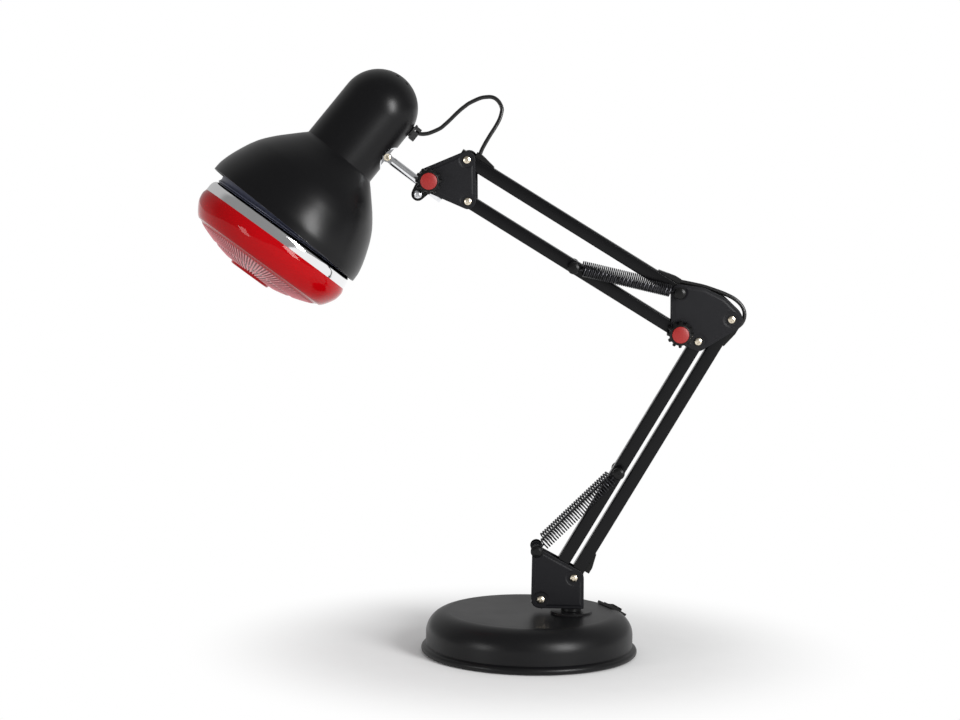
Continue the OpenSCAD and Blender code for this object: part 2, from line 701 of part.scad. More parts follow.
module socket_housing() {
    color([0.06, 0.06, 0.065]) lamp_place() difference() {
        union() {
            housing_solid(housing_r, neck_z);
            translate([0, 0, neck_z - 2.5]) cylinder(r = housing_r - sheet - 0.05, h = 3.5);
        }
        difference() {
            housing_solid(housing_r - sheet, neck_z + 0.8);
            lamp_across(scoop_at, scoop_r + 1, -30, 30);
        }
        translate([0, 0, neck_z - 6]) cylinder(r = housing_r - 2.1, h = 8);
        lamp_across(scoop_at, scoop_r, -30, 30);
        for (i = [0 : vent_count - 1]) rotate([0, 0, (i + 0.5) * 360 / vent_count])
            translate([vent_ring, 0, cap_z]) cylinder(r = 1.3, h = 40, $fn = 24);
        translate([20, 0, gland_z]) rotate([0, 90, 0]) cylinder(r = 3.05, h = 20);
    }
}
module lamp_socket() {
    color([0.9, 0.88, 0.84]) lamp_place() lean() difference() {
        union() {
            translate([0, 0, 92]) cylinder(r = 19.4, h = 20);
            translate([0, 0, 88]) cylinder(r = 20.5, h = 6);
            translate([0, 0, 111]) cylinder(r = 15.2, h = 12);
            translate([0, 0, 122]) cylinder(r = 5, h = 11);
        }
        translate([0, 0, 80]) cylinder(r = 13.4, h = 41);
        translate([0, 0, 80]) cylinder(r = 17.4, h = 17.2);
    }
}
module inner_shade() {
    lip = 57.3;
    lip_z = -1.8;
    tall = 66;
    dome = [for (i = [0 : 12]) let (z = 57 * i / 12) [lip * sqrt(1 - pow(z / tall, 2)), lip_z + z]];
    color([0.05, 0.06, 0.1]) lamp_place() lean() {
        rotate_extrude($fn = 96) polygon(concat(dome, [for (i = [12 : -1 : 0]) dome[i] - [0.7, 0]]));
        translate([0, 0, lip_z]) rotate_extrude($fn = 96) translate([lip - 0.2, 0]) circle(r = 0.8, $fn = 24);
    }
}
// Reflector bulb: outside and inside profiles, and the front lens
function cone_r(z) = sqrt(3160 - 40.5 * (z + 4));
seam_r = 61.4;
glass_outer = concat([for (z = [-4 : 8 : 52]) [cone_r(z), z]], [[22.3, 61], [18.6, 72], [16.5, 84], [16.2, 96]]);
module bulb_glass() {
    outer = concat([[seam_r, seam_z], [60, seam_z + 3], [58.2, seam_z + 5.6]], glass_outer);
    color([0.85, 0.85, 0.86]) lamp_place() lean() rotate_extrude($fn = 96)
        polygon(concat(outer, [for (i = [len(outer) - 1 : -1 : 0]) outer[i] - [glass, 0]]));
}
function lens_edge(grow) = [[seam_r + grow, seam_z], [bulb_r + grow - 0.3, seam_z - 2.4],
    [bulb_r + grow, belly_z], [bulb_r + grow - 0.6, belly_z - 4], [bulb_r + grow - 2.4, belly_z - 9],
    [bulb_r + grow - 5.4, face_z + 1.8], [face_r + grow + 1.2, face_z]];
// Height of the domed face at a radius, and points of it from one radius to another
function face_at(r, z) = z - face_bulge * (1 - pow(r / face_r, 2));
function lens_face(r0, r1, z) = [for (i = [0 : 8]) let (r = lerp(r0, r1, i / 8)) [r, face_at(r, z)]];
module bulb_lens() {
    button_z = face_at(0, face_z) - 0.8;
    inner_edge = lens_edge(-glass);
    color([0.75, 0.04, 0.07, 0.85]) lamp_place() lean() rotate_extrude($fn = 96)
        polygon(concat(lens_edge(0), lens_face(face_r, button_r, face_z),
            [[button_r - 0.6, button_z], [0, button_z]],
            [[0, face_at(6, face_z + glass)]],
            lens_face(6, face_r - 0.8, face_z + glass),
            [for (i = [5 : -1 : 0]) inner_edge[i]]));
}
module bulb_base() {
    color([0.8, 0.8, 0.8]) lamp_place() lean() {
        difference() {
            translate([0, 0, 95.5]) cylinder(r = 13.2, h = 22);
            translate([0, 0, 94]) cylinder(r = 12.4, h = 22);
        }
        translate([0, 0, 117.4]) cylinder(r1 = 11, r2 = 5, h = 3);
    }
}
module filament() {
    color([0.6, 0.6, 0.62]) lamp_place() lean() {
        translate([0, 0, 40]) cylinder(r1 = 2.4, r2 = 4, h = 52);
        for (a = [0, 180]) rotate([0, 0, a]) translate([1, 0, 22]) cylinder(r = 0.5, h = 20);
        translate([-9, 0, 22]) rotate([0, 90, 0]) cylinder(r = 0.9, h = 18);
    }
}
module head_gland() {
    color([0.05, 0.05, 0.05]) lamp_place() translate([0, 0, gland_z]) difference() {
        union() {
            translate([26, 0, 0]) rotate([0, 90, 0]) cylinder(r = 3, h = 6);
            translate([housing_r + 0.1, 0, 0]) rotate([0, 90, 0]) cylinder(r = 5.2, h = 1.5);
            translate([housing_r + 1.4, -3.6, -6]) cube([4.4, 7.2, 10.4]);
        }
        translate([30.6, -5, 0.6]) cube([6, 10, 1.4]);
    }
}

// ---------------------------------------------------------------- cables

module head_cable_lamp_end() { color([0.04, 0.04, 0.04]) cable(head_route, head_splits, 0); }
module head_cable_rise() { color([0.04, 0.04, 0.04]) cable(head_route, head_splits, 1); }
module head_cable_fall() { color([0.04, 0.04, 0.04]) cable(head_route, head_splits, 2); }
module head_cable_arm_end() { color([0.04, 0.04, 0.04]) cable(head_route, head_splits, 3); }
module elbow_cable_upper() { color([0.04, 0.04, 0.04]) cable(elbow_route, elbow_splits, 0); }
module elbow_cable_lower() { color([0.04, 0.04, 0.04]) cable(elbow_route, elbow_splits, 1); }

// ---------------------------------------------------------------- the whole lamp

base_shell();
base_weight();
base_pad();
switch_housing();
switch_rocker();
post();
cord_inlet();
bracket_front();
bracket_back();
bracket_block();
bracket_screws();
bracket_pin();
lower_bar_left();
lower_pin();
lower_bar_right();
lower_clips();
lower_spring_front();
lower_spring_back();
lower_spring_hooks();
elbow_front();
elbow_back();
elbow_screws();
elbow_pin();
elbow_bolt();
elbow_knob();
elbow_knob_cap();
upper_bar_low();
upper_pin();
upper_bar_top();
upper_clips();
upper_spring_front();
upper_spring_back();
upper_spring_hooks();
head_plate_front();
head_plate_back();
head_plate_screws();
head_bolt();
head_knob();
head_knob_cap();
clamp_front();
clamp_back();
clamp_screw();
rod();
hinge_bracket();
hinge_screw();
shade();
socket_housing();
lamp_socket();
inner_shade();
bulb_glass();
bulb_lens();
bulb_base();
filament();
head_gland();
head_cable_lamp_end();
head_cable_rise();
head_cable_fall();
head_cable_arm_end();
elbow_cable_upper();
elbow_cable_lower();
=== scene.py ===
# %% [markdown]
# # A desk heat lamp, piece by piece
# The lamp is a red-fronted reflector bulb in a black bell, held by a sprung arm of square tubes over a
# round weighted base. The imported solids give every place, so this script only adds the looks. Loading the
# solids first means that each new piece can be set against the pivots of the real joints.

# %% Load the solids and keep their box
import json
import math

import bmesh
import bpy
import numpy as np
from mathutils import Matrix, Vector


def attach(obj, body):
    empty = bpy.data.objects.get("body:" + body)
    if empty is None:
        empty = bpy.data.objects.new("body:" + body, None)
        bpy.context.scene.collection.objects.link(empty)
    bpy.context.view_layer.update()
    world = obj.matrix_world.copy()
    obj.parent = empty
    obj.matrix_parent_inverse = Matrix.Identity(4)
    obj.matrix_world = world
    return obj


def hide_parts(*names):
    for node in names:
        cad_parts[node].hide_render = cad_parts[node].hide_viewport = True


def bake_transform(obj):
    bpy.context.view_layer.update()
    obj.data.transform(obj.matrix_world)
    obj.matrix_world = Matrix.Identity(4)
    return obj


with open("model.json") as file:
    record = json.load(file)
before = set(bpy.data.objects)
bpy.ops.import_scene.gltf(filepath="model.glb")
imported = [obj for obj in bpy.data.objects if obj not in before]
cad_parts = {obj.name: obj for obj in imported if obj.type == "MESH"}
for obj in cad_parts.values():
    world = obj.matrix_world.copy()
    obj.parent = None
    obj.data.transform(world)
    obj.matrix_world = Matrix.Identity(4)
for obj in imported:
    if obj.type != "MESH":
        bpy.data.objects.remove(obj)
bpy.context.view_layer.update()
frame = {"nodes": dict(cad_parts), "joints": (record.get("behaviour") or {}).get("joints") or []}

# %% [markdown]
# ## Pivots and directions
# Every length below is in millimetres, because that is how a lamp is dimensioned; the mesh maker turns them
# into metres. The pivots are read from the joints, so the looks can't drift away from the mechanism. The
# alternative, typing the numbers again, would go stale with the first change of the arm.

# %% Read the pivots from the joints
MM = 0.001
pivot = {j["name"]: np.array(j["pos_m"]) / MM for j in frame["joints"] if "pos_m" in j}
axis = {j["name"]: np.array(j["axis"]) for j in frame["joints"]}
bracket_left, bracket_right = pivot["lower_left_pivot"], pivot["lower_arm"]
elbow_right, elbow_low, elbow_top = pivot["elbow_pivot"], pivot["upper_low_pivot"], pivot["upper_arm"]
elbow_left = elbow_right + bracket_left - bracket_right
head_high, head_knob_at = pivot["head_plates_pivot"], pivot["head_tilt"]
head_low = head_high + elbow_low - elbow_top
hinge_at, rod_dir = pivot["head_hinge"], axis["rod_swivel"]


def unit(v):
    """A vector divided by its length."""
    return v / np.linalg.norm(v)


up_lower = unit(elbow_right - bracket_right)
up_upper = unit(head_high - elbow_top)
print("lower arm", round(np.linalg.norm(elbow_right - bracket_right)), "mm,",
      "upper arm", round(np.linalg.norm(head_high - elbow_top)), "mm")

# %% [markdown]
# ## The camera
# The photograph was taken from a little above, with a long lens and a slight roll. A camera's matrix is its
# right, up and backward directions, so the roll is one turn of right and up about the line of sight. The
# focal length in pixels of a 960 pixel wide frame gives the lens, with a 36 mm sensor.

# %% Place the camera where the photograph was taken
FRAME_W, FOCAL_PX, SENSOR_W = 960, 3540, 36
LOOK_DOWN, ROLL = 7.9, 1.11
CAMERA_AT = np.array([-40.44, -2574.19, 575.52])


def turn(about, degrees):
    """Rotation matrix by Rodrigues' formula: R = I + sin(a) K + (1 - cos(a)) K K."""
    x, y, z = unit(np.array(about, float))
    k = np.array([[0, -z, y], [z, 0, -x], [-y, x, 0]])
    a = math.radians(degrees)
    return np.eye(3) + math.sin(a) * k + (1 - math.cos(a)) * k @ k


look = turn([1, 0, 0], -LOOK_DOWN) @ np.array([0, 1.0, 0])
right = turn(look, -ROLL) @ np.array([1.0, 0, 0])
camera_data = bpy.data.cameras.new("photo_camera")
camera_data.sensor_width = SENSOR_W
camera_data.lens = FOCAL_PX / FRAME_W * SENSOR_W
camera_data.clip_start, camera_data.clip_end = 0.1, 50
camera = bpy.data.objects.new("photo_camera", camera_data)
bpy.context.scene.collection.objects.link(camera)
view = np.eye(4)
view[:3, 0], view[:3, 1], view[:3, 2], view[:3, 3] = right, np.cross(right, look), -look, CAMERA_AT * MM
camera.matrix_world = Matrix(view.tolist())
bpy.context.scene.camera = camera
print("lens", round(camera_data.lens, 1), "mm")

# %% [markdown]
# ## How the surfaces are made
# Nearly all of the lamp is turned, bent or drawn, so each piece is a grid of points: rows along one
# direction, columns round the other. One maker turns grids into a mesh, welds the seams and poles, and
# turns the faces outwards. Modelling by hand would give the same shapes but hide the dimensions.

# %% Turn grids of points into a mesh
def faces_of(rows, columns, round_columns, round_rows, first):
    """Quads between neighbours of a grid, numbered from first; round_* joins the last to the first."""
    i = np.arange(rows if round_rows else rows - 1)[:, None]
    j = np.arange(columns if round_columns else columns - 1)[None, :]
    i2, j2 = (i + 1) % rows, (j + 1) % columns
    quads = np.stack([i * columns + j, i * columns + j2, i2 * columns + j2, i2 * columns + j], -1)
    return quads.reshape(-1, 4) + first


def mesh_of(name, grids, round_columns=True, round_rows=False, crease=35, own=None):
    """One object from grids of points in mm, welded, turned outwards and smoothed up to the crease angle.
    Own is a grid of the same points in the piece's own frame, kept as the attribute "own" in mm."""
    faces, points, first = [], [], 0
    for grid in grids:
        faces.append(faces_of(*grid.shape[:2], round_columns, round_rows, first))
        points.append(grid.reshape(-1, 3) * MM)
        first += grid.shape[0] * grid.shape[1]
    mesh = bpy.data.meshes.new(name)
    mesh.from_pydata(np.concatenate(points), [], np.concatenate(faces))
    if own is not None:
        mesh.attributes.new("own", "FLOAT_VECTOR", "POINT").data.foreach_set("vector", own.ravel())
    work = bmesh.new()
    work.from_mesh(mesh)
    bmesh.ops.remove_doubles(work, verts=work.verts, dist=1e-6)
    bmesh.ops.recalc_face_normals(work, faces=work.faces)
    work.to_mesh(mesh)
    work.free()
    mesh.shade_smooth()
    mesh.set_sharp_from_angle(angle=math.radians(crease))
    piece = bpy.data.objects.new(name, mesh)
    bpy.context.scene.collection.objects.link(piece)
    return piece


def lathe(profile, around=128, place=None):
    """A profile of (radius, height) turned about Z: (r cos t, r sin t, h), then put in place."""
    r, h = np.array(profile, float).T
    t = np.linspace(0, 2 * np.pi, around, endpoint=False)
    grid = np.stack([np.outer(r, np.cos(t)), np.outer(r, np.sin(t)), np.outer(h, np.ones(around))], -1)
    return grid if place is None else place(grid)


def arc(centre, radius, start, end, steps):
    """Points of a circle: centre + radius (cos a, sin a), with a in degrees from start to end."""
    a = np.radians(np.linspace(start, end, steps))
    return np.array(centre, float) + radius * np.stack([np.cos(a), np.sin(a)], -1)


def ease(x):
    """0 below 0, 1 above 1, smooth between: 3 x^2 - 2 x^3."""
    x = np.clip(x, 0, 1)
    return x * x * (3 - 2 * x)


def smooth_path(points, step):
    """A Catmull-Rom curve through the points, with a point about every step mm."""
    p = np.array(points, float)
    p = np.concatenate([[2 * p[0] - p[1]], p, [2 * p[-1] - p[-2]]])
    a, b, c, d = p[:-3], p[1:-2], p[2:-1], p[3:]
    count = max(2, math.ceil(np.linalg.norm(c - b, axis=1).max() / step))
    t = (np.arange(count) / count)[None, :, None]
    a, b, c, d = (q[:, None, :] for q in (a, b, c, d))
    curve = 0.5 * (2 * b + (c - a) * t + (2 * a - 5 * b + 4 * c - d) * t**2 + (3 * b - a - 3 * c + d) * t**3)
    return np.concatenate([curve.reshape(-1, 3), p[-2:-1]])


def frames(path, across=None):
    """Unit vectors u and v square to a path: u is across, less its part along the path, and v = along x u.
    With no across given, each point takes Y, or X where the path runs nearly along Y."""
    along = np.gradient(path, axis=0)
    along /= np.linalg.norm(along, axis=1)[:, None]
    if across is None:
        across = np.where(np.abs(along[:, 1:2]) < 0.8, [0, 1.0, 0], [1.0, 0, 0])
    u = across - (across * along).sum(1)[:, None] * along
    u /= np.linalg.norm(u, axis=1)[:, None]
    return u, np.cross(along, u)


def skin(path, u, v, section):
    """The rings path + section (u, v), closed at both ends by a last ring shrunk to the path's point."""
    grid = path[:, None] + section[None, :, :1] * u[:, None] + section[None, :, 1:] * v[:, None]
    ends = np.broadcast_to(path[[0, -1], None], (2, *grid.shape[1:]))
    return np.concatenate([ends[:1], grid, ends[1:]])


print("grid, lathe, arc, path, frames and skin are ready")

# %% [markdown]
# ## The two loops of cable
# A flat twin flex leaves the gland of the head, loops over the arm's end and goes into the top tube; it
# comes out again to pass round the elbow. A bevelled curve would be round, so each stretch is a section
# swept along the route. Each crosses one joint.

# %% Route and section of the flex
HEAD_ROUTE = np.array([
    [-91, 3.5, 384.5], [-87, 3.5, 383.3], [-83.5, 3.6, 383.4], [-80, 3.8, 384.2], [-73, 4.4, 387.4],
    [-69.3, 4.7, 390.4], [-65.5, 5, 394], [-62, 5.3, 397.6], [-58.5, 5.5, 401], [-55, 5.8, 403.9],
    [-51.5, 6, 406.4], [-44, 6, 410], [-38.5, 6, 411], [-35.5, 5.8, 410.9], [-33, 5.5, 410],
    [-31, 5.3, 408.4], [-29.5, 5, 406.4], [-28.4, 4.5, 404], [-28, 4, 401.4], [-29.5, 3, 395.5],
    [-32.5, 2, 389.6], [-36.3, 1, 383.5], [-40, 0.5, 377], [-42.5, 0, 371.8], [-43.4, 0, 368],
    [-43.2, 0, 365], [-41.9, 0, 362.2], [-39.5, 0, 359.9], [-36.6, 0, 357.8], [-33.2, 0, 355.7]])
HEAD_SPLITS = [0, 7, 13, 21, 29]
ELBOW_ROUTE = np.array([
    [78.3, 0, 288.3], [82, 0, 286.3], [85.7, 0, 284.5], [89.5, 0, 283.1], [93, 0, 282.2],
    [99.5, 0, 280.9], [105.2, 0, 279.2], [113.6, 0, 277.6], [122.4, 0, 275.8], [131.3, 0, 273],
    [138, 0, 270.6], [144.6, 0, 267.4], [149.6, 0, 263.2], [152.2, 0, 258.6], [152.6, 0, 254],
    [151, 0, 249.6], [147.8, 0, 246.4], [144.8, 0, 244], [142, 0, 242.1], [139.4, 0, 240.2],
    [137.1, 0, 238], [134.9, 0, 235.3], [132.7, 0, 231.9]])
ELBOW_SPLITS = [0, 9, 22]
FLEX_W, FLEX_T = 3.7, 3.2


def flex_section(width, thick, count=24):
    """Two round cores side by side: a flattened ellipse, with a waist cut by a narrow bell curve."""
    a = np.linspace(0, 2 * np.pi, count, endpoint=False)
    u, v = width / 2 * np.cos(a), thick / 2 * np.sign(np.sin(a)) * np.abs(np.sin(a)) ** 0.7
    return np.stack([u, v * (1 - 0.18 * np.exp(-((u / (0.16 * width)) ** 2)))], -1)


def flex(name, route, splits, i, node):
    """One stretch of the flex, swept along its part of the route, with the solid it replaces hidden."""
    whole = smooth_path(route, 0.8)
    per = (len(whole) - 1) // (len(route) - 1)
    path = whole[splits[i] * per:splits[i + 1] * per + 1]
    piece = mesh_of(name, [skin(path, *frames(path, (0, 1, 0)), flex_section(FLEX_W, FLEX_T))])
    chord = unit(path[-1] - path[0]) * 2.5
    (path[0] + chord) * MM
    (path[-1] - chord) * MM
    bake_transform(piece)
    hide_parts(node)
    return piece


# %% Make the six stretches
head_bodies = [("lamp_head", "rod"), ("rod", "clamp"), ("clamp", "head_plates"), ("head_plates", "upper_top")]
head_nodes = ["head_cable_lamp_end", "head_cable_rise", "head_cable_fall", "head_cable_arm_end"]
flexes = [flex("flex_" + node[5:], HEAD_ROUTE, HEAD_SPLITS, i, node)
          for i, (bodies, node) in enumerate(zip(head_bodies, head_nodes))]
elbow_bodies = [("upper_top", "elbow"), ("elbow", "lower_right")]
elbow_nodes = ["elbow_cable_upper", "elbow_cable_lower"]
flexes += [flex("flex_" + node, ELBOW_ROUTE, ELBOW_SPLITS, i, node)
           for i, (bodies, node) in enumerate(zip(elbow_bodies, elbow_nodes))]

# %% [markdown]
# ## Writing finishes as sums
# A finish is a small network of nodes. Wiring them one by one buries the idea, so one class wraps an output
# and lets arithmetic add the Math nodes, and one method adds any other node with its settings and inputs.

# %% A wrapped output and a finish
class Wire:
    """The output of a node; + - * and ** on it add Math nodes."""

    def __init__(self, finish, socket):
        self.finish, self.socket = finish, socket

    def maths(self, operation, a, b=0.0):
        return self.finish.node("Math", {"operation": operation}, {0: a, 1: b})

    def __add__(self, other):
        return self.maths("ADD", self, other)

    def __mul__(self, other):
        return self.maths("MULTIPLY", self, other)

    def __sub__(self, other):
        return self.maths("SUBTRACT", self, other)

    def __rsub__(self, other):
        return self.maths("SUBTRACT", other, self)

    def __pow__(self, other):
        return self.maths("POWER", self, other)

    def above(self, edge, soft):
        """0 below edge, 1 above edge + soft, with a smooth step between."""
        return self.finish.node("MapRange", {"interpolation_type": "SMOOTHSTEP"},
                                {"Value": self, "From Min": edge, "From Max": edge + soft}, "Result")

    __radd__, __rmul__ = __add__, __mul__


class Finish:
    """A material: node() adds any node, surface() sets the shader's sockets."""

    def __init__(self, name, tree=None):
        if tree is None:
            self.material = bpy.data.materials.new(name)
            self.material.use_nodes = True
        self.tree = tree or self.material.node_tree
        self.shader = self.tree.nodes.get("Principled BSDF")
        self.place = self.node("TexCoord", output="Generated" if tree else "Object")

    def node(self, kind, settings=None, inputs=None, output=0):
        made = self.tree.nodes.new("ShaderNode" + kind)
        for key, value in (settings or {}).items():
            if key == "stops":
                ramp = made.color_ramp.elements
                for k, (at, colour) in enumerate(value):
                    stop = ramp[k] if k < 2 else ramp.new(at)
                    stop.position, stop.color = at, (*colour, 1)
            else:
                setattr(made, key, value)
        for key, value in (inputs or {}).items():
            self.feed(made.inputs[key], value)
        return Wire(self, made.outputs[output])

    def feed(self, socket, value):
        if isinstance(value, Wire):
            self.tree.links.new(value.socket, socket)
        else:
            socket.default_value = (*value, 1) if socket.type == "RGBA" and len(value) == 3 else value

    def noise(self, scale, detail=3, rough=0.55):
        """Cloudy noise; scale is in cells per metre."""
        return self.node("TexNoise", {}, {"Vector": self.place, "Scale": scale, "Detail": detail,
                                          "Roughness": rough})

    def mix(self, share, a, b):
        """Colour a where share is 0, b where it is 1."""
        return self.node("Mix", {"data_type": "RGBA"}, {"Factor": share, 6: a, 7: b}, 2)

    def bump(self, height, mm, strength=1.0):
        return self.node("Bump", {}, {"Height": height, "Distance": mm * MM, "Strength": strength}, "Normal")

    def surface(self, **sockets):
        for name, value in sockets.items():
            self.feed(self.shader.inputs[name.replace("_", " ")], value)
        return self.material


def paint(piece, material):
    """Gives a piece, or a solid by name, one material."""
    thing = frame["nodes"][piece] if isinstance(piece, str) else piece
    thing.data.materials.clear()
    thing.data.materials.append(material)
    return thing


print("finishes can be written")

# %% [markdown]
# ## Black enamel, powder coat and plastic
# Almost everything is black, so the pieces differ by gloss and by the fine relief that breaks it. Stoved
# enamel has a faint orange peel and soft clouds of gloss; the plates' powder coat is grainy; the moulded
# knobs have a fine even grain. Dust and finger marks show as slow changes of roughness.

# %% Coats of black
def black_coat(name, colour, rough, peel_mm, peel_scale, dust=0.02):
    """A black coat: clouds in roughness, orange peel in relief and a trace of dust in the colour."""
    f = Finish(name)
    clouds, peel, specks = f.noise(22, 4), f.noise(peel_scale, 3), f.noise(900, 2)
    dusty = (specks.above(0.62, 0.12) * clouds) * dust
    colour_wire = f.mix(dusty, colour, (0.3, 0.3, 0.3))
    return f.surface(Base_Color=colour_wire, Roughness=clouds * 0.14 + (rough - 0.07),
                     Specular_IOR_Level=0.22,
                     Normal=f.bump(peel, peel_mm))


enamel = black_coat("enamel_satin", (0.0035, 0.0035, 0.004), 0.31, 0.012, 1500)
bar_enamel = black_coat("enamel_bars", (0.0015, 0.0015, 0.002), 0.24, 0.015, 1300, dust=0.01)
base_enamel = black_coat("enamel_base", (0.0045, 0.0045, 0.005), 0.36, 0.03, 900)
powder = black_coat("powder_coat", (0.005, 0.005, 0.0065), 0.46, 0.09, 2300)
plastic = black_coat("moulded_plastic", (0.005, 0.005, 0.005), 0.36, 0.03, 3200)
gloss_black = black_coat("rivet_black", (0.004, 0.004, 0.004), 0.26, 0.01, 1800)


def enamel_with_painted_reflection():
    """The inner bell: dark gloss enamel, its colour lightened to blue-grey as a painted reflection of the sky
    and lamps.
    """
    f = Finish("enamel_painted_blue_reflection")
    clouds = f.noise(60, 3)
    # Base colour: dark enamel plus a lighter blue-grey that is a painted reflection of the sky and lamps,
    # varied in clouds.
    return f.surface(Base_Color=f.mix(clouds, (0.045, 0.050, 0.082), (0.062, 0.068, 0.105)),
                     Roughness=clouds * 0.1 + 0.28, Normal=f.bump(f.noise(1200), 0.01))


inner_enamel_painted_reflection = enamel_with_painted_reflection()
print("coats:", [m.name for m in (enamel, bar_enamel, base_enamel, powder, plastic, gloss_black)])

# %% [markdown]
# ## Metals
# The rod and its bracket are chromed, the pivot screws have a yellowish plating, the bolts are zinc plated
# and the springs blackened. All of them are the same idea: a metallic surface whose roughness carries fine
# streaks, with the streaks stretched along the way that the piece was worked.

# %% Metals
def metal(name, colour, dull, rough, streak, relief=0.008):
    """Metal with patches of a duller colour and streaks of roughness."""
    f = Finish(name)
    patches, fine = f.noise(260, 3), f.noise(streak, 4, 0.7)
    return f.surface(Base_Color=f.mix(patches.above(0.45, 0.3), colour, dull), Metallic=1.0,
                     Roughness=fine * 0.16 + rough, Normal=f.bump(fine, relief))


chrome = metal("chrome_bright", (0.86, 0.87, 0.89), (0.74, 0.75, 0.78), 0.03, 1600, 0.004)
screw_metal = metal("plated_screws", (0.80, 0.72, 0.58), (0.62, 0.54, 0.42), 0.16, 2600)
brass = metal("plated_brass", (0.84, 0.76, 0.60), (0.66, 0.57, 0.44), 0.14, 2400)
zinc = metal("zinc_plate", (0.62, 0.63, 0.64), (0.46, 0.46, 0.45), 0.24, 2200)
spring_black = metal("spring_wire", (0.055, 0.055, 0.06), (0.02, 0.02, 0.02), 0.24, 3000)
cast_iron = metal("cast_iron", (0.16, 0.15, 0.15), (0.10, 0.08, 0.07), 0.55, 800, 0.2)
thread_metal = metal("thread_metal", (0.76, 0.77, 0.79), (0.6, 0.6, 0.62), 0.2, 1800)
print("metals ready")

# %% [markdown]
# ## The flex, the felt and the red plastic
# The flex is soft black plastic with a faint ripple, the pad under the base is pressed fibre, and the caps
# of the knobs are bright red plastic with a satin surface.

# %% Soft and coloured finishes
def soft_black(name, colour, rough, scale, relief):
    """Soft black, lighter in cloudy patches, with a fine ripple in gloss and relief."""
    f = Finish(name)
    ripple, fluff = f.noise(scale, 4, 0.65), f.noise(90, 3)
    return f.surface(Base_Color=f.mix(fluff, colour, tuple(2.2 * c for c in colour)),
                     Roughness=ripple * 0.15 + rough, Normal=f.bump(ripple, relief))


flex_black = soft_black("flex_pvc", (0.004, 0.004, 0.004), 0.16, 700, 0.03)
grommet_black = soft_black("grommet_rubber", (0.006, 0.006, 0.006), 0.36, 1500, 0.04)
felt = soft_black("felt_pad", (0.03, 0.03, 0.03), 0.85, 2500, 0.4)


def red_plastic():
    """Moulded red plastic, satin."""
    f = Finish("cap_red")
    clouds, grain = f.noise(140, 3), f.noise(2600, 3)
    return f.surface(Base_Color=f.mix(clouds, (0.23, 0.006, 0.005), (0.29, 0.009, 0.008)),
                     Roughness=clouds * 0.12 + 0.34, Normal=f.bump(grain, 0.03))


def ceramic_glaze():
    """Glossy off-white glaze."""
    f = Finish("socket_ceramic")
    clouds = f.noise(120, 3)
    return f.surface(Base_Color=f.mix(clouds, (0.82, 0.80, 0.74), (0.90, 0.88, 0.84)),
                     Roughness=clouds * 0.1 + 0.12, Normal=f.bump(f.noise(700), 0.03))


cap_red, ceramic = red_plastic(), ceramic_glaze()
for piece in flexes:
    paint(piece, flex_black)
print("flex, felt and red plastic ready")

# %% [markdown]
# ## The base
# The base is a steel pressing: a flat top, a round shoulder, a short wall and a rolled edge that stands on
# the table. It is a profile turned about the middle. The flat seat pressed in for the switch is added by
# pushing the points above a tilted plane down onto it, within a rounded rectangle.

# %% Press the base cover
BASE_R, BASE_H, SHOULDER_R, EDGE_R, SHEET = 80, 31, 16, 2.7, 1.0
WALL_R = BASE_R - 3.4
SWITCH_AZIMUTH, SWITCH_TILT = 25, 30
SEAT_HALF, SEAT_SUNK, SEAT_FADE = (8.6, 11.8), 1.5, 1.6
shoulder = (WALL_R - SHOULDER_R, BASE_H - SHOULDER_R)
edge = (BASE_R - EDGE_R, EDGE_R + 0.3)


def base_profile():
    """Centre of the top, shoulder, wall, rolled edge and back inside to the centre."""
    flat = np.stack([np.linspace(0, shoulder[0] - 2, 12), np.full(12, BASE_H)], -1)
    outside = np.concatenate([flat, arc(shoulder, SHOULDER_R, 94, 0, 40), [(WALL_R, 9), (WALL_R, 6.4)],
                              arc(edge, EDGE_R, 75, -180, 40)])
    inside = np.concatenate([[(WALL_R - SHEET, 6), (WALL_R - SHEET, 15)],
                             arc(shoulder, SHOULDER_R - SHEET, 0, 90, 12), [(0, BASE_H - SHEET)]])
    return np.concatenate([outside, inside])


def press_switch_seat(grid):
    """Lowers what stands above the seat's plane: height - excess x ease(1 - distance outside / fade)."""
    tilt = turn([0, 0, 1], SWITCH_AZIMUTH) @ turn([0, 1, 0], SWITCH_TILT)
    centre = turn([0, 0, 1], SWITCH_AZIMUTH) @ np.array([shoulder[0], 0, shoulder[1]])
    local = (grid - centre) @ tilt
    outside = (np.abs(local[..., :2]) - SEAT_HALF).max(-1)
    excess = np.maximum(local[..., 2] - (SHOULDER_R - SEAT_SUNK), 0)
    local[..., 2] -= excess * ease(1 - outside / SEAT_FADE)
    return local @ tilt.T + centre


cover = mesh_of("base_cover", [press_switch_seat(lathe(base_profile(), 480))])
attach(cover, "base")
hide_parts("base_shell")
paint(cover, base_enamel)
print("base cover", len(cover.data.polygons), "faces")

# %% [markdown]
# ## Side plates
# The bracket, the elbow and the head each have two flat plates. Their outline is a belt drawn tight round a
# circle at each pivot. The real plates are pressed: the edge is rounded, the field inside it stands a
# little proud, and it drops back to the sheet in a dish round each screw. All of it is one height function
# over a fan of rings, which run from the outline to the middle.

# %% Draw the belt
BAR_W, PLAY, PLATE_T = 9.5, 0.35, 1.5
RIM, DISH_R, SLOPE = 1.6, 5.2, 0.9
PLATE_IN = BAR_W / 2 + PLAY
PLATE_OUT = PLATE_IN + PLATE_T


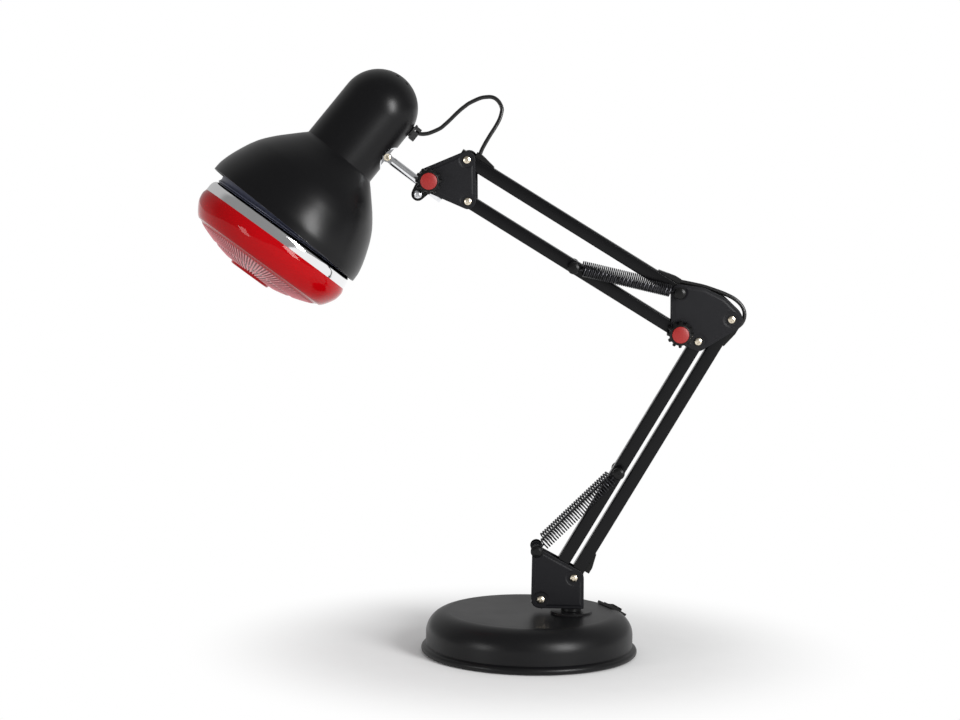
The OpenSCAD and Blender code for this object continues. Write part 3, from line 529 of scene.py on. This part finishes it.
def belt(circles, step=0.8):
    """Outline and outward normals of a belt round circles (x, z, r), listed anticlockwise, with a point every
    step mm. The normal of a run turns from its direction by asin((ra - rb) / distance) - 90 degrees."""
    c = np.array(circles, float)
    ahead = np.roll(c, -1, 0)
    run = ahead - c
    slant = np.arcsin((c[:, 2] - ahead[:, 2]) / np.hypot(run[:, 0], run[:, 1]))
    leave = np.degrees(np.arctan2(run[:, 1], run[:, 0]) + slant) - 90
    enter = np.roll(leave, 1)
    bends = [a + np.linspace(0, (b - a) % 360, math.ceil(((b - a) % 360) / 5) + 1)
             for a, b in zip(enter, leave)]
    owner = np.repeat(np.arange(len(c)), [len(bend) for bend in bends])
    a = np.radians(np.concatenate(bends))
    normal = np.stack([np.cos(a), np.sin(a)], -1)
    outline = c[owner, :2] + c[owner, 2:] * normal
    ring = np.concatenate([np.concatenate([outline, normal], -1), [[*outline[0], *normal[0]]]])
    along = np.concatenate([[0], np.cumsum(np.hypot(*np.diff(ring[:, :2], axis=0).T))])
    even = np.linspace(0, along[-1], math.ceil(along[-1] / step), endpoint=False)
    x, z, nx, nz = (np.interp(even, along, column) for column in ring.T)
    normal = np.stack([nx, nz], -1)
    return np.stack([x, z], -1), normal / np.linalg.norm(normal, axis=1)[:, None]


# %% Press the plate
def plate_grid(circles, screws, side, soft=0.45, proud=0.4):
    """Hidden face, rounded edge, then the outer face with height
    proud x ease(distance from the edge - rim) x ease(distance from each screw - dish); side is -1 or 1."""
    outline, normal = belt(circles)
    middle = outline.mean(0)
    quarter = np.radians(np.linspace(0, 90, 5))
    inset, depth = soft * (1 - np.sin(quarter)), soft * (1 - np.cos(quarter))
    insets, depths = np.concatenate([inset, inset[::-1]]), np.concatenate([depth, PLATE_T - depth[::-1]])
    edge_rings = outline[None] - insets[:, None, None] * normal[None]
    inner = edge_rings[-1]
    fan = inner[None] + (middle - inner)[None] * np.linspace(0, 1, 44)[1:, None, None]
    from_edge = np.linalg.norm(fan[:, :, None] - inner[None, None], axis=-1).min(-1)
    height = proud * ease((from_edge - RIM) / SLOPE)
    for x, _, z in screws:
        height = height * ease((np.hypot(fan[..., 0] - x, fan[..., 1] - z) - DISH_R) / SLOPE)
    flat = np.concatenate([np.broadcast_to(middle, (1, *outline.shape)), edge_rings, fan])
    y = np.concatenate([np.zeros((1, len(outline))), np.broadcast_to(depths[:, None], edge_rings.shape[:2]),
                        PLATE_T + height])
    return np.stack([flat[..., 0], side * (PLATE_IN + y), flat[..., 1]], -1)


def across(at, grid):
    """Turns a lathe's +Z to -Y, out of the front of the arm, and moves it to a pivot."""
    return np.stack([grid[..., 0], -grid[..., 2], grid[..., 1]], -1) + np.array([at[0], 0, at[2]])


def flat_circles(origin, circles):
    """Circles given from a pivot, as (x, z, r) in the arm's plane."""
    return [(origin[0] + x, origin[2] + z, r) for x, z, r in circles]


# %% Cut the six plates
bracket_circles = flat_circles(bracket_left, [(-1, -0.6, 6), (31.3, -6, 0.6), (24.5, 16.2, 7),
                                              (-2.3, 32.9, 4.7)])
bracket_ear = pivot["lower_spring_pivot"]
k_to_left, k_to_right, k_to_top = elbow_left - elbow_low, elbow_right - elbow_low, elbow_top - elbow_low
elbow_circles = flat_circles(elbow_low, [
    (0, 0, 6.6), (k_to_left[0], k_to_left[2], 7.2), (k_to_right[0], k_to_right[2], 8.2), (25, 16.1, 13),
    (13.5, 21, 13.4), (k_to_top[0], k_to_top[2], 6)])
lo, hi = head_low - head_knob_at, head_high - head_knob_at
plates = {
    "bracket": (bracket_circles, bracket_circles, [bracket_left, bracket_right, bracket_ear]),
    "elbow": (elbow_circles, elbow_circles, [elbow_left, elbow_right, elbow_top]),
    "head_plates": (flat_circles(head_knob_at, [(0, 0, 8.6), (lo[0], lo[2], 5.8), (hi[0], hi[2], 6.2)]),
                    flat_circles(head_knob_at, [(0, 0, 8.6), (lo[0] + 1.5, lo[2], 5.8),
                                                (hi[0] + 1.5, hi[2], 6.2)]), [head_low, head_high])}
ear_disc = [(0, PLATE_IN), (4, PLATE_IN), (4.2, PLATE_IN + 0.3), (4.2, PLATE_OUT - 0.4),
            (3.8, PLATE_OUT - 0.02), (0, PLATE_OUT - 0.02)]
for body, (front, back, screws) in plates.items():
    stem = body.replace("_plates", "_plate")
    for side, name, circles in ((-1, "front", front), (1, "back", back)):
        grids = [plate_grid(circles, screws, side)]
        if body == "bracket":
            grids.append(across(bracket_ear, lathe(ear_disc, len(grids[0][0]))) * [1, -side, 1])
        plate = mesh_of(f"plate_{name}_{stem}", grids)
        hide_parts(f"{stem}_{name}")
        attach(plate, body)
        paint(plate, powder)
print("plates for", list(plates))

# %% [markdown]
# ## The square tubes
# The arm's four bars are drawn square tube with small round corners, open at both ends, where the wall
# shows. The section is a rounded square: a circle of the corner's radius pushed out to four corners. The
# tube is the outer skin, one end, the inner skin and the other end, joined in a ring.

# %% Draw the tubes
BAR_WALL, BAR_PAST, CORNER = 1.0, 6.0, 1.1


def rounded_square(half, corner, per=7):
    """Corner centres at half - corner, plus the corner's quarter circles."""
    a = np.radians(np.concatenate([np.linspace(q, q + 90, per) for q in (0, 90, 180, 270)]))
    sign = np.repeat(np.array([[1, 1], [-1, 1], [-1, -1], [1, -1]], float), per, 0)
    return sign * (half - corner) + corner * np.stack([np.cos(a), np.sin(a)], -1)


def bar_grid(start, end):
    """Four rings: the outer skin's two ends and the inner skin's two, each end + section (out, Y)."""
    along = unit(end - start)
    out = np.array([along[2], 0, -along[0]])
    outer, inner = rounded_square(BAR_W / 2, CORNER), rounded_square(BAR_W / 2 - BAR_WALL, CORNER / 2)
    low, high = start - BAR_PAST * along, end + BAR_PAST * along
    rings = ((outer, low), (outer, high), (inner, high), (inner, low))
    return np.stack([at + ring[:, :1] * out + ring[:, 1:] * np.array([0, 1.0, 0]) for ring, at in rings])


bars = {"lower_bar_left": ("lower_left", bracket_left, elbow_left),
        "lower_bar_right": ("lower_right", bracket_right, elbow_right),
        "upper_bar_low": ("upper_low", elbow_low, head_low),
        "upper_bar_top": ("upper_top", elbow_top, head_high)}
for node, (body, start, end) in bars.items():
    grid = bar_grid(start * [1, 0, 1], end * [1, 0, 1])
    tube = mesh_of("tube_" + node, [grid], round_rows=True)
    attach(tube, body)
    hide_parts(node)
    paint(tube, bar_enamel)
print("tubes", list(bars))

# %% [markdown]
# ## The springs
# Each pair of springs is hooked between two pins. The lower pair is drawn out, so its turns stand apart;
# the upper pair is nearly closed. A spring is one wire: a loop round the first pin, a helix, and a loop
# round the second. Its second end rides on a body that slides.

# %% Wind the springs
WIRE, SPRING_D, SPRING_Y, PIN_R, STRAIGHT = 1.1, 9.4, 11.0, 2.0, 6.5
LOWER_PIN, UPPER_PIN = 111, 92


def wire_path(a, b, turns, y):
    """Loop, straight run, helix, straight run, loop. The helix is
    a + d s(i) + r(i) (n cos i + y sin i), with r growing over its first and last half turn."""
    d = unit(b - a)
    n = np.array([-d[2], 0, d[0]])
    depth = np.array([0, y, 0])
    loop_r, coil_r = PIN_R + WIRE / 2 + 0.15, (SPRING_D - WIRE) / 2
    phi = np.radians(np.linspace(50, 335, 26))[:, None]
    first = a + loop_r * (np.cos(phi) * d + np.sin(phi) * n)
    last = b - loop_r * (np.cos(phi[::-1]) * d + np.sin(phi[::-1]) * n)
    length = np.linalg.norm(b - a)
    share = np.linspace(0, 1, turns * 20 + 1)[:, None]
    angle = 2 * np.pi * turns * share
    grow = ease(np.minimum(share, 1 - share) * turns / 0.6)
    helix = (a + d * (STRAIGHT + share * (length - 2 * STRAIGHT)) +
             coil_r * grow * (n * np.cos(angle) + np.array([0, 1.0, 0]) * np.sin(angle)))
    return np.concatenate([first, helix, last]) + depth


def untwisted(path):
    """Frames of a path without twist: each point's rough frame is turned by the running sum of the angles
    by which the frames have slipped, each from the one before."""
    u, v = frames(path)
    slip = np.arctan2((u[:-1] * v[1:]).sum(1), (u[:-1] * u[1:]).sum(1))
    a = np.concatenate([[0], np.cumsum(slip)])[:, None]
    return np.cos(a) * u + np.sin(a) * v, np.cos(a) * v - np.sin(a) * u


def spring(name, a, b, turns, y, nodes):
    """One spring wound from pin a to pin b, with the solids it replaces hidden."""
    d = unit(b - a)
    path = wire_path(a, b, turns, y)
    piece = mesh_of(name, [skin(path, *untwisted(path), arc((0, 0), WIRE / 2, 0, 315, 8))])
    (a + d * STRAIGHT) * MM
    (b - d * STRAIGHT) * MM
    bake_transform(piece)
    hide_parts(*nodes)
    paint(piece, spring_black)


lower_from, upper_from = bracket_ear * [1, 0, 1], elbow_top * [1, 0, 1]
lower_to = bracket_left * [1, 0, 1] + LOWER_PIN * up_lower
upper_to = elbow_low * [1, 0, 1] + UPPER_PIN * up_upper
for side, y in (("front", -SPRING_Y), ("back", SPRING_Y)):
    far = side == "back"
    spring("coil_lower_" + side, lower_from, lower_to, 33, y,
           ["lower_spring_" + side] + ["lower_spring_hooks"] * far)
    spring("coil_upper_" + side, upper_from, upper_to, 46, y,
           ["upper_spring_" + side] + ["upper_spring_hooks"] * far)
print("four springs wound")

# %% [markdown]
# ## The clamping knobs
# A knob is a moulded disc with twelve round lobes that give the fingers a hold, and a red cap pressed into
# its face. In polar form its radius is a core plus lobes, |cos|-shaped round the knob and fading towards
# both faces, so one grid of angle by depth makes the whole form with soft edges.

# %% Mould the knobs and their caps
KNOB_R, CORE_R, LOBES, KNOB_BACK, KNOB_DEEP, CAP_R = 9.9, 8.2, 12, PLATE_OUT + 0.5, 8.0, 6.2


def knob_grid(at):
    """Radius(angle, depth) = core(depth) + lobe(angle) x swell(depth); a lobe is 1 - ease(phase)."""
    t = np.linspace(0, 2 * np.pi, LOBES * 20, endpoint=False)[None, :]
    deep = np.array([0, 0, 0.25, 0.8, 1.4, 2.2, 3.6, 5.2, 6.0, 6.8, 7.4, 7.8, 8.0, 8.0, 7.7, 7.6, 7.6])
    core = np.array([0, 6.5, 7.1, 7.5, 8.1, 8.2, 8.2, 8.2, 8.2, 7.9, 7.5, 7.1, 6.7, 6.4, 6.3, 6.2, 0])
    swell = np.array([0, 0, 0, 0.1, 0.8, 1, 1, 1, 0.75, 0.25, 0.08, 0, 0, 0, 0, 0, 0])
    phase = (t * LOBES / np.pi + 1) % 2 - 1
    lobe = (KNOB_R - CORE_R) * (1 - ease((np.abs(phase) - 0.3) / 0.35))
    r = core[:, None] + lobe * swell[:, None]
    grid = np.stack([r * np.cos(t), r * np.sin(t), np.broadcast_to((KNOB_BACK + deep)[:, None], r.shape)], -1)
    return across(at, grid)


def cap_profile():
    """A low dome with a small rounded shoulder."""
    seat = KNOB_BACK + KNOB_DEEP - 0.7
    dome = [(CAP_R * x, seat + 1.0 + 1.3 * math.sqrt(1 - (0.93 * x) ** 2)) for x in np.linspace(0.97, 0, 12)]
    return [(0, seat), (CAP_R - 0.1, seat), (CAP_R, seat + 1.0)] + dome


for body, place in (("elbow_knob", elbow_low), ("head_knob", head_knob_at)):
    grip = mesh_of("grip_" + body, [knob_grid(place)], crease=50)
    cap = mesh_of("cap_" + body, [lathe(cap_profile(), 64, lambda g, at=place: across(at, g))])
    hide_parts(body)
    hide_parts(body + "_cap")
    for piece, finish, slot in ((grip, plastic, "knob_plastic"), (cap, cap_red, "cap_red")):
        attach(piece, body)
        paint(piece, finish)
print("knobs moulded")

# %% [markdown]
# ## The lamp's own frame
# The bells, the socket and the bulb are all turned about one axis, which hangs from the hinge at an angle.
# The shapes are easiest in a frame of their own, with Z up that axis from the middle of the mouth. The
# bulb and the inner bell lean a little in the outer one, as the photograph shows.

# %% Place a lathe on the lamp's axis
HEAD_ANGLE, HEAD_TURN, HINGE_LOCAL = 51.7, -7.5, np.array([27.3, 0, 85.5])
LEAN, BULB_SHIFT, BELLY_Z = 3.0, 1.9, -17
lamp_turn = turn(rod_dir, HEAD_TURN) @ turn([0, 1, 0], 90 - HEAD_ANGLE)
lean_turn = turn([0, 1, 0], -LEAN)


def on_lamp(grid):
    """From the lamp's own frame into the lamp's place at the hinge."""
    return (grid - HINGE_LOCAL) @ lamp_turn.T + hinge_at


def on_bulb(grid):
    """The same for what leans: first turned about the bulb's belly and shifted."""
    return on_lamp((grid - [0, 0, BELLY_Z]) @ lean_turn.T + [BULB_SHIFT, 0, BELLY_Z])


print("lamp axis points", (lamp_turn @ [0, 0, -1]).round(2))


# %% Spin the outer and inner bells
MOUTH_R, HOUSING_R, NECK_Z, SHEET_T = 64.7, 28.8, 64, 1.0
LIP_R, LIP_Z, INNER_TALL, INNER_TOP, INNER_T, BEAD_R = 57.3, -1.8, 66, 57, 0.8, 0.8


def bell(r, neck):
    """A smooth curve through the heights where the bell has drawn in by so much from its mouth: a dome
    that runs on as a cone, with a small hollow at the neck."""
    drop = np.array([[0, 0], [0.3, 6], [1.6, 12], [3.5, 18], [5.8, 24], [8.4, 30], [11.6, 36], [14.3, 40],
                     [17.4, 44], [20.8, 48], [24.5, 52], [28.3, 56], [32.1, 60]])
    hollow = [[neck + 2.2, 61.6], [neck + 0.9, 62.9], [neck, NECK_Z]]
    knots = np.concatenate([[r, 0] + drop * [-1, 1], hollow])
    return smooth_path(np.insert(knots, 1, 0, axis=1), 1.5)[:, [0, 2]]


def inner_bell():
    """Half an ellipse, r = lip sqrt(1 - (z / tall)^2), with a rolled lip and a groove above it."""
    z = np.linspace(0, INNER_TOP, 48)
    r = LIP_R * np.sqrt(1 - (z / INNER_TALL) ** 2) - 0.4 * np.exp(-((z - 2.2) / 0.6) ** 2)
    outer = np.stack([r, z + LIP_Z], -1)[1:]
    bead = arc((LIP_R - 0.2, LIP_Z), BEAD_R, 180, 425, 20)
    return np.concatenate([bead, outer, (outer - [INNER_T, 0])[::-1]])


outer_bell = np.concatenate([[(MOUTH_R - SHEET_T / 2, -0.25)], bell(MOUTH_R, HOUSING_R),
                             bell(MOUTH_R - SHEET_T, HOUSING_R - SHEET_T)[::-1]])
shade = mesh_of("bell_outer", [lathe(outer_bell, 256, on_lamp)], round_rows=True)
lining = mesh_of("bell_inner", [lathe(inner_bell(), 256, on_bulb)], round_rows=True)
# The inner bell's blue-grey colour is a painted reflection of the sky and lamps.
for piece, node, slot, finish in ((shade, "shade", "head_enamel", enamel),
                                  (lining, "inner_shade", "inner_blue_black", inner_enamel_painted_reflection)):
    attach(piece, "lamp_head")
    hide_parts(node)
    paint(piece, finish)
print("bells spun")

# %% [markdown]
# ## The bulb
# A reflector heat bulb is one blown envelope. Its sides are silvered inside, so they look like a mirror;
# its front is ruby glass, smooth at the shoulder and pressed with fine radial ribs on the face, with a
# plain button in the middle. The ribs are real relief, because their glints show from every side; their
# colour also carries a painted highlight on each rib and painted shade in each flute.

# %% Blow the silvered reflector
SEAM_R, SEAM_Z, GLASS_T = 61.4, -12.3, 1.2


def reflector():
    """A shoulder, a paraboloid r = sqrt(3160 - 40.5 (z + 4)), and a neck that runs on from it."""
    z = np.linspace(-1, 52, 28)
    cone = np.stack([np.sqrt(3160 - 40.5 * (z + 4)), z], -1)
    neck = smooth_path([[29.87, 0, 52], [22.3, 0, 61], [18.6, 0, 72], [16.5, 0, 84], [16.2, 0, 96]],
                       2.5)[1:, [0, 2]]
    shoulder = smooth_path([[SEAM_R, 0, SEAM_Z], [61.35, 0, -10.2], [61.2, 0, -8.2], [60.8, 0, -6.3],
                            [59.9, 0, -4.6], [58.3, 0, -3.3], [55.4, 0, -2.2]], 0.5)[:, [0, 2]]
    return np.concatenate([shoulder, cone, neck])


glass = np.concatenate([reflector(), (reflector() - [GLASS_T, 0])[::-1]])
silver = mesh_of("bulb_reflector", [lathe(glass, 256, on_bulb)], round_rows=True)


# %% Press the ribbed red face
BULB_R, FACE_R, FACE_Z, BULGE, BUTTON_R = 62.25, 52.5, -32.3, 11.4, 16.4
RIBS, RIB_HIGH, RIB_R, HALVED_R = 116, 0.6, 51, 33


def lens_profile():
    """Shoulder, domed face z = z0 - bulge (1 - (r / R)^2), button, and back; with the face's share marked."""
    corner = smooth_path([[SEAM_R, 0, SEAM_Z], [BULB_R - 0.1, 0, SEAM_Z - 2.4], [BULB_R, 0, -17],
                          [BULB_R - 0.9, 0, -21.5], [BULB_R - 3.2, 0, -26], [BULB_R - 6, 0, -30],
                          [FACE_R + 1.6, 0, -32], [FACE_R, 0, FACE_Z]], 1.6)[:, [0, 2]]
    r_face, low = np.linspace(FACE_R - 0.8, BUTTON_R + 0.4, 28), FACE_Z - BULGE
    face = np.stack([r_face, FACE_Z - BULGE * (1 - (r_face / FACE_R) ** 2)], -1)
    button = [(BUTTON_R, low + 0.6), (BUTTON_R - 0.25, low - 0.3), (BUTTON_R - 0.9, low - 0.75),
              (8, low - 0.8), (0, low - 0.8), (0, low + GLASS_T)]
    share = np.linspace(0, 1, 9)
    back = np.stack([share * (FACE_R - 2), FACE_Z + GLASS_T - BULGE * (1 - share ** 2)], -1)
    rim = [(FACE_R + 2, -29), (58.5, -24), (60.2, -18), (60, SEAM_Z)]
    on_face = np.repeat([0, 1, 0], [len(corner), len(face), len(button) + len(back) + len(rim)])
    return np.concatenate([corner, face, button, back, rim]), on_face[:, None]


def lens_grid(around=RIBS * 8):
    """The turned profile less rib height x (0.5 + 0.5 cos(ribs t)) on the face, with half as many ribs near
    the middle; the ribs fade out at the button, at the face's edge and where they halve."""
    profile, on_face = lens_profile()
    grid = lathe(profile, around)
    r = np.hypot(grid[..., 0], grid[..., 1])
    fade = (on_face * ease((r - BUTTON_R - 0.6) / 3) * ease((RIB_R - r) / 3) *
            ease(np.abs(r - HALVED_R) / 2))
    t = np.linspace(0, 2 * np.pi, around, endpoint=False)[None, :]
    grid[..., 2] -= RIB_HIGH * fade * (0.5 + 0.5 * np.cos(t * np.where(r > HALVED_R, RIBS, RIBS // 2)))
    return grid


lens_points = lens_grid()
lens = mesh_of("bulb_front", [on_bulb(lens_points)], round_rows=True, crease=60, own=lens_points)
print("lens faces", len(lens.data.polygons))


# %% Finishes of the bulb
def silvered_glass():
    """A mirror under a clear layer, with the slow waves of blown glass."""
    f = Finish("silvered_glass")
    clouds = f.noise(50, 3)
    return f.surface(Base_Color=f.mix(clouds, (0.80, 0.80, 0.81), (0.90, 0.90, 0.91)), Metallic=1.0,
                     Roughness=clouds * 0.06 + 0.05, Coat_Weight=1.0, Coat_Roughness=0.02,
                     Normal=f.bump(f.noise(40, 2), 0.25))


def ruby_glass():
    """Ruby shoulder; on the face a painted highlight on each rib and painted shade in each flute, and a band
    of small diamonds at its edge. The pattern follows the piece's own frame, where r and the angle are those
    of the ribs."""
    f = Finish("ruby_glass")
    clouds, fine = f.noise(28, 4), f.noise(500, 3)
    own = f.node("Attribute", {"attribute_name": "own"}, output="Vector")
    x, y, depth = (f.node("SeparateXYZ", {}, {0: own}, i) for i in range(3))
    r, angle = (x * x + y * y) ** 0.5, x.maths("ARCTAN2", y, x)
    outer = r.above(HALVED_R, 0.4)
    waves = angle * RIBS, angle * (RIBS / 2)
    fine_rib, wide_rib = (wave.maths("COSINE", wave) for wave in waves)
    rib = (fine_rib * outer + wide_rib * (1 - outer)) * 0.5 + 0.5
    face = r.above(BUTTON_R, 2.5) * (1 - r.above(RIB_R - 3, 2)) * (1 - depth.above(FACE_Z + 0.1, 0.6))
    across_ribs, along_ribs = angle * (2 * RIBS), r * 3.2
    diamonds = angle.maths("COSINE", across_ribs) * r.maths("COSINE", along_ribs) * 0.5 + 0.5
    band = r.above(RIB_R - 1, 0.6) * (1 - r.above(FACE_R + 2.2, 0.6)) * (1 - depth.above(-30, 0.5))
    ruby = f.mix(clouds, (0.32, 0.0004, 0.002), (0.38, 0.0006, 0.003))
    # Pale pink on the ribs is a painted highlight, the floor's reflection, and the dark red in the flutes is
    # painted shade.
    rib_painted_glints_and_shade = f.mix(rib.above(0.25, 0.6), (0.13, 0.002, 0.006), (0.62, 0.21, 0.23))
    edged = f.mix(diamonds.above(0.35, 0.4) * band * 0.55, ruby, (0.12, 0.001, 0.004))
    relief = diamonds * band * 0.04 + fine * 0.01
    return f.surface(Base_Color=f.mix(face, edged, rib_painted_glints_and_shade), Roughness=clouds * 0.06 + 0.05,
                     Specular_IOR_Level=0.14, IOR=1.5, Normal=f.bump(relief, 1.0))


for piece, node, slot, finish in ((silver, "bulb_glass", "mirror_glass", silvered_glass()),
                                  (lens, "bulb_lens", "lens_red", ruby_glass())):
    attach(piece, "lamp_head")
    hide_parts(node)
    paint(piece, finish)

# %% [markdown]
# ## Finishes of the solids that stay
# Screws, pins, clips, the rod, the socket and the switch keep their solids, whose shapes are already right.
# Each gets one of the finishes above.

# %% Paint the solids
solid_finishes = {
    enamel: ["socket_housing"], base_enamel: ["post", "bracket_block"], cast_iron: ["base_weight"],
    felt: ["base_pad"], plastic: ["switch_housing", "lower_clips", "upper_clips"],
    gloss_black: ["switch_rocker", "bracket_pin", "lower_pin", "elbow_pin", "upper_pin", "clamp_front",
                  "clamp_back"],
    grommet_black: ["cord_inlet", "head_gland"],
    screw_metal: ["bracket_screws", "elbow_screws", "head_plate_screws"],
    zinc: ["elbow_bolt", "head_bolt"], thread_metal: ["clamp_screw", "bulb_base", "filament"],
    chrome: ["rod", "hinge_bracket"], brass: ["hinge_screw"], ceramic: ["lamp_socket"]}
for material, names in solid_finishes.items():
    for node in names:
        paint(node, material)
print("solids painted:", sum(len(n) for n in solid_finishes.values()))

# %% [markdown]
# ## Table, light and background
# The lamp was photographed on white. The floor is pale and takes the soft shadow near the base; further
# out it turns into plain white for the camera, and for what mirrors it. A big soft lamp stands right of the
# camera and a small one left of it, because black enamel is seen mostly by what it reflects. The world is
# white for the camera only: metal and glass mirror a dimmer room, brighter towards the backdrop.

# %% Floor
SHADOW_TO, SHADOW_FADE = 0.11, 0.15


def floor_finish():
    """Shaded floor near the base, and emission of white beyond it, for camera and mirrored rays alone."""
    f = Finish("pale_floor")
    out = f.tree.nodes["Material Output"]
    distance = f.node("VectorMath", {"operation": "LENGTH"}, {0: f.place}, "Value")
    speck = f.noise(40, 2)
    f.surface(Base_Color=f.mix(speck, (0.90, 0.90, 0.90), (0.93, 0.93, 0.93)), Roughness=0.8)
    white = f.node("Emission", {}, {"Color": (1, 1, 1), "Strength": 1.0})
    path = f.node("LightPath", output="Is Camera Ray")
    gloss = f.node("LightPath", output="Is Glossy Ray")
    seen = path.maths("MAXIMUM", path, gloss)
    far = distance.above(SHADOW_TO, SHADOW_FADE)
    mix = f.node("MixShader", {}, {0: far * seen, 1: Wire(f, f.shader.outputs[0]), 2: white})
    f.tree.links.new(mix.socket, out.inputs["Surface"])
    return f.material


floor_x, floor_y = np.meshgrid(np.linspace(-6000, 6000, 9), np.linspace(-4000, 9000, 9))
floor = mesh_of("floor", [np.stack([floor_x, floor_y, 0 * floor_x], -1)], round_columns=False)
if floor.data.polygons[0].normal.z < 0:
    floor.data.flip_normals()
paint(floor, floor_finish())


# %% Lamps and world
def soft_lamp(name, at, aim, size, power):
    """A rectangular area lamp at a point in mm, turned to face another point."""
    light = bpy.data.lights.new(name, "AREA")
    light.shape, light.size, light.size_y, light.energy = "RECTANGLE", size[0] * MM, size[1] * MM, power
    lamp = bpy.data.objects.new(name, light)
    away = Vector(np.array(at, float) - np.array(aim, float))
    lamp.location = np.array(at) * MM
    lamp.rotation_euler = away.to_track_quat("Z", "Y").to_euler()
    bpy.context.scene.collection.objects.link(lamp)
    return lamp


middle = (0, 0, 220)
soft_lamp("right_softbox", (1100, -1300, 700), middle, (500, 900), 30)
soft_lamp("left_softbox", (-1300, -1000, 250), middle, (360, 600), 6)
world = bpy.data.worlds.new("studio")
bpy.context.scene.world = world
world.use_nodes = True
sky = Finish("studio", world.node_tree)
ROOM_LIGHT, MIRRORED_ROOM, BACKDROP_LIGHT = 0.5, 0.28, 0.5
behind = sky.node("VectorMath", {"operation": "DOT_PRODUCT"}, {0: sky.place, 1: (0.0, 1.0, 0.0)}, "Value")
seen = sky.node("LightPath", output="Is Camera Ray")
mirrored = sky.node("LightPath", output="Is Glossy Ray")
reflected = behind.above(0.1, 0.35) * (BACKDROP_LIGHT - MIRRORED_ROOM) + MIRRORED_ROOM
strength = seen + (1 - seen) * (mirrored * reflected + (1 - mirrored) * ROOM_LIGHT)
sky.feed(world.node_tree.nodes["Background"].inputs["Color"], (1, 1, 1))
sky.feed(world.node_tree.nodes["Background"].inputs["Strength"], strength)
bpy.context.scene.view_settings.view_transform = "Standard"
print("lit")
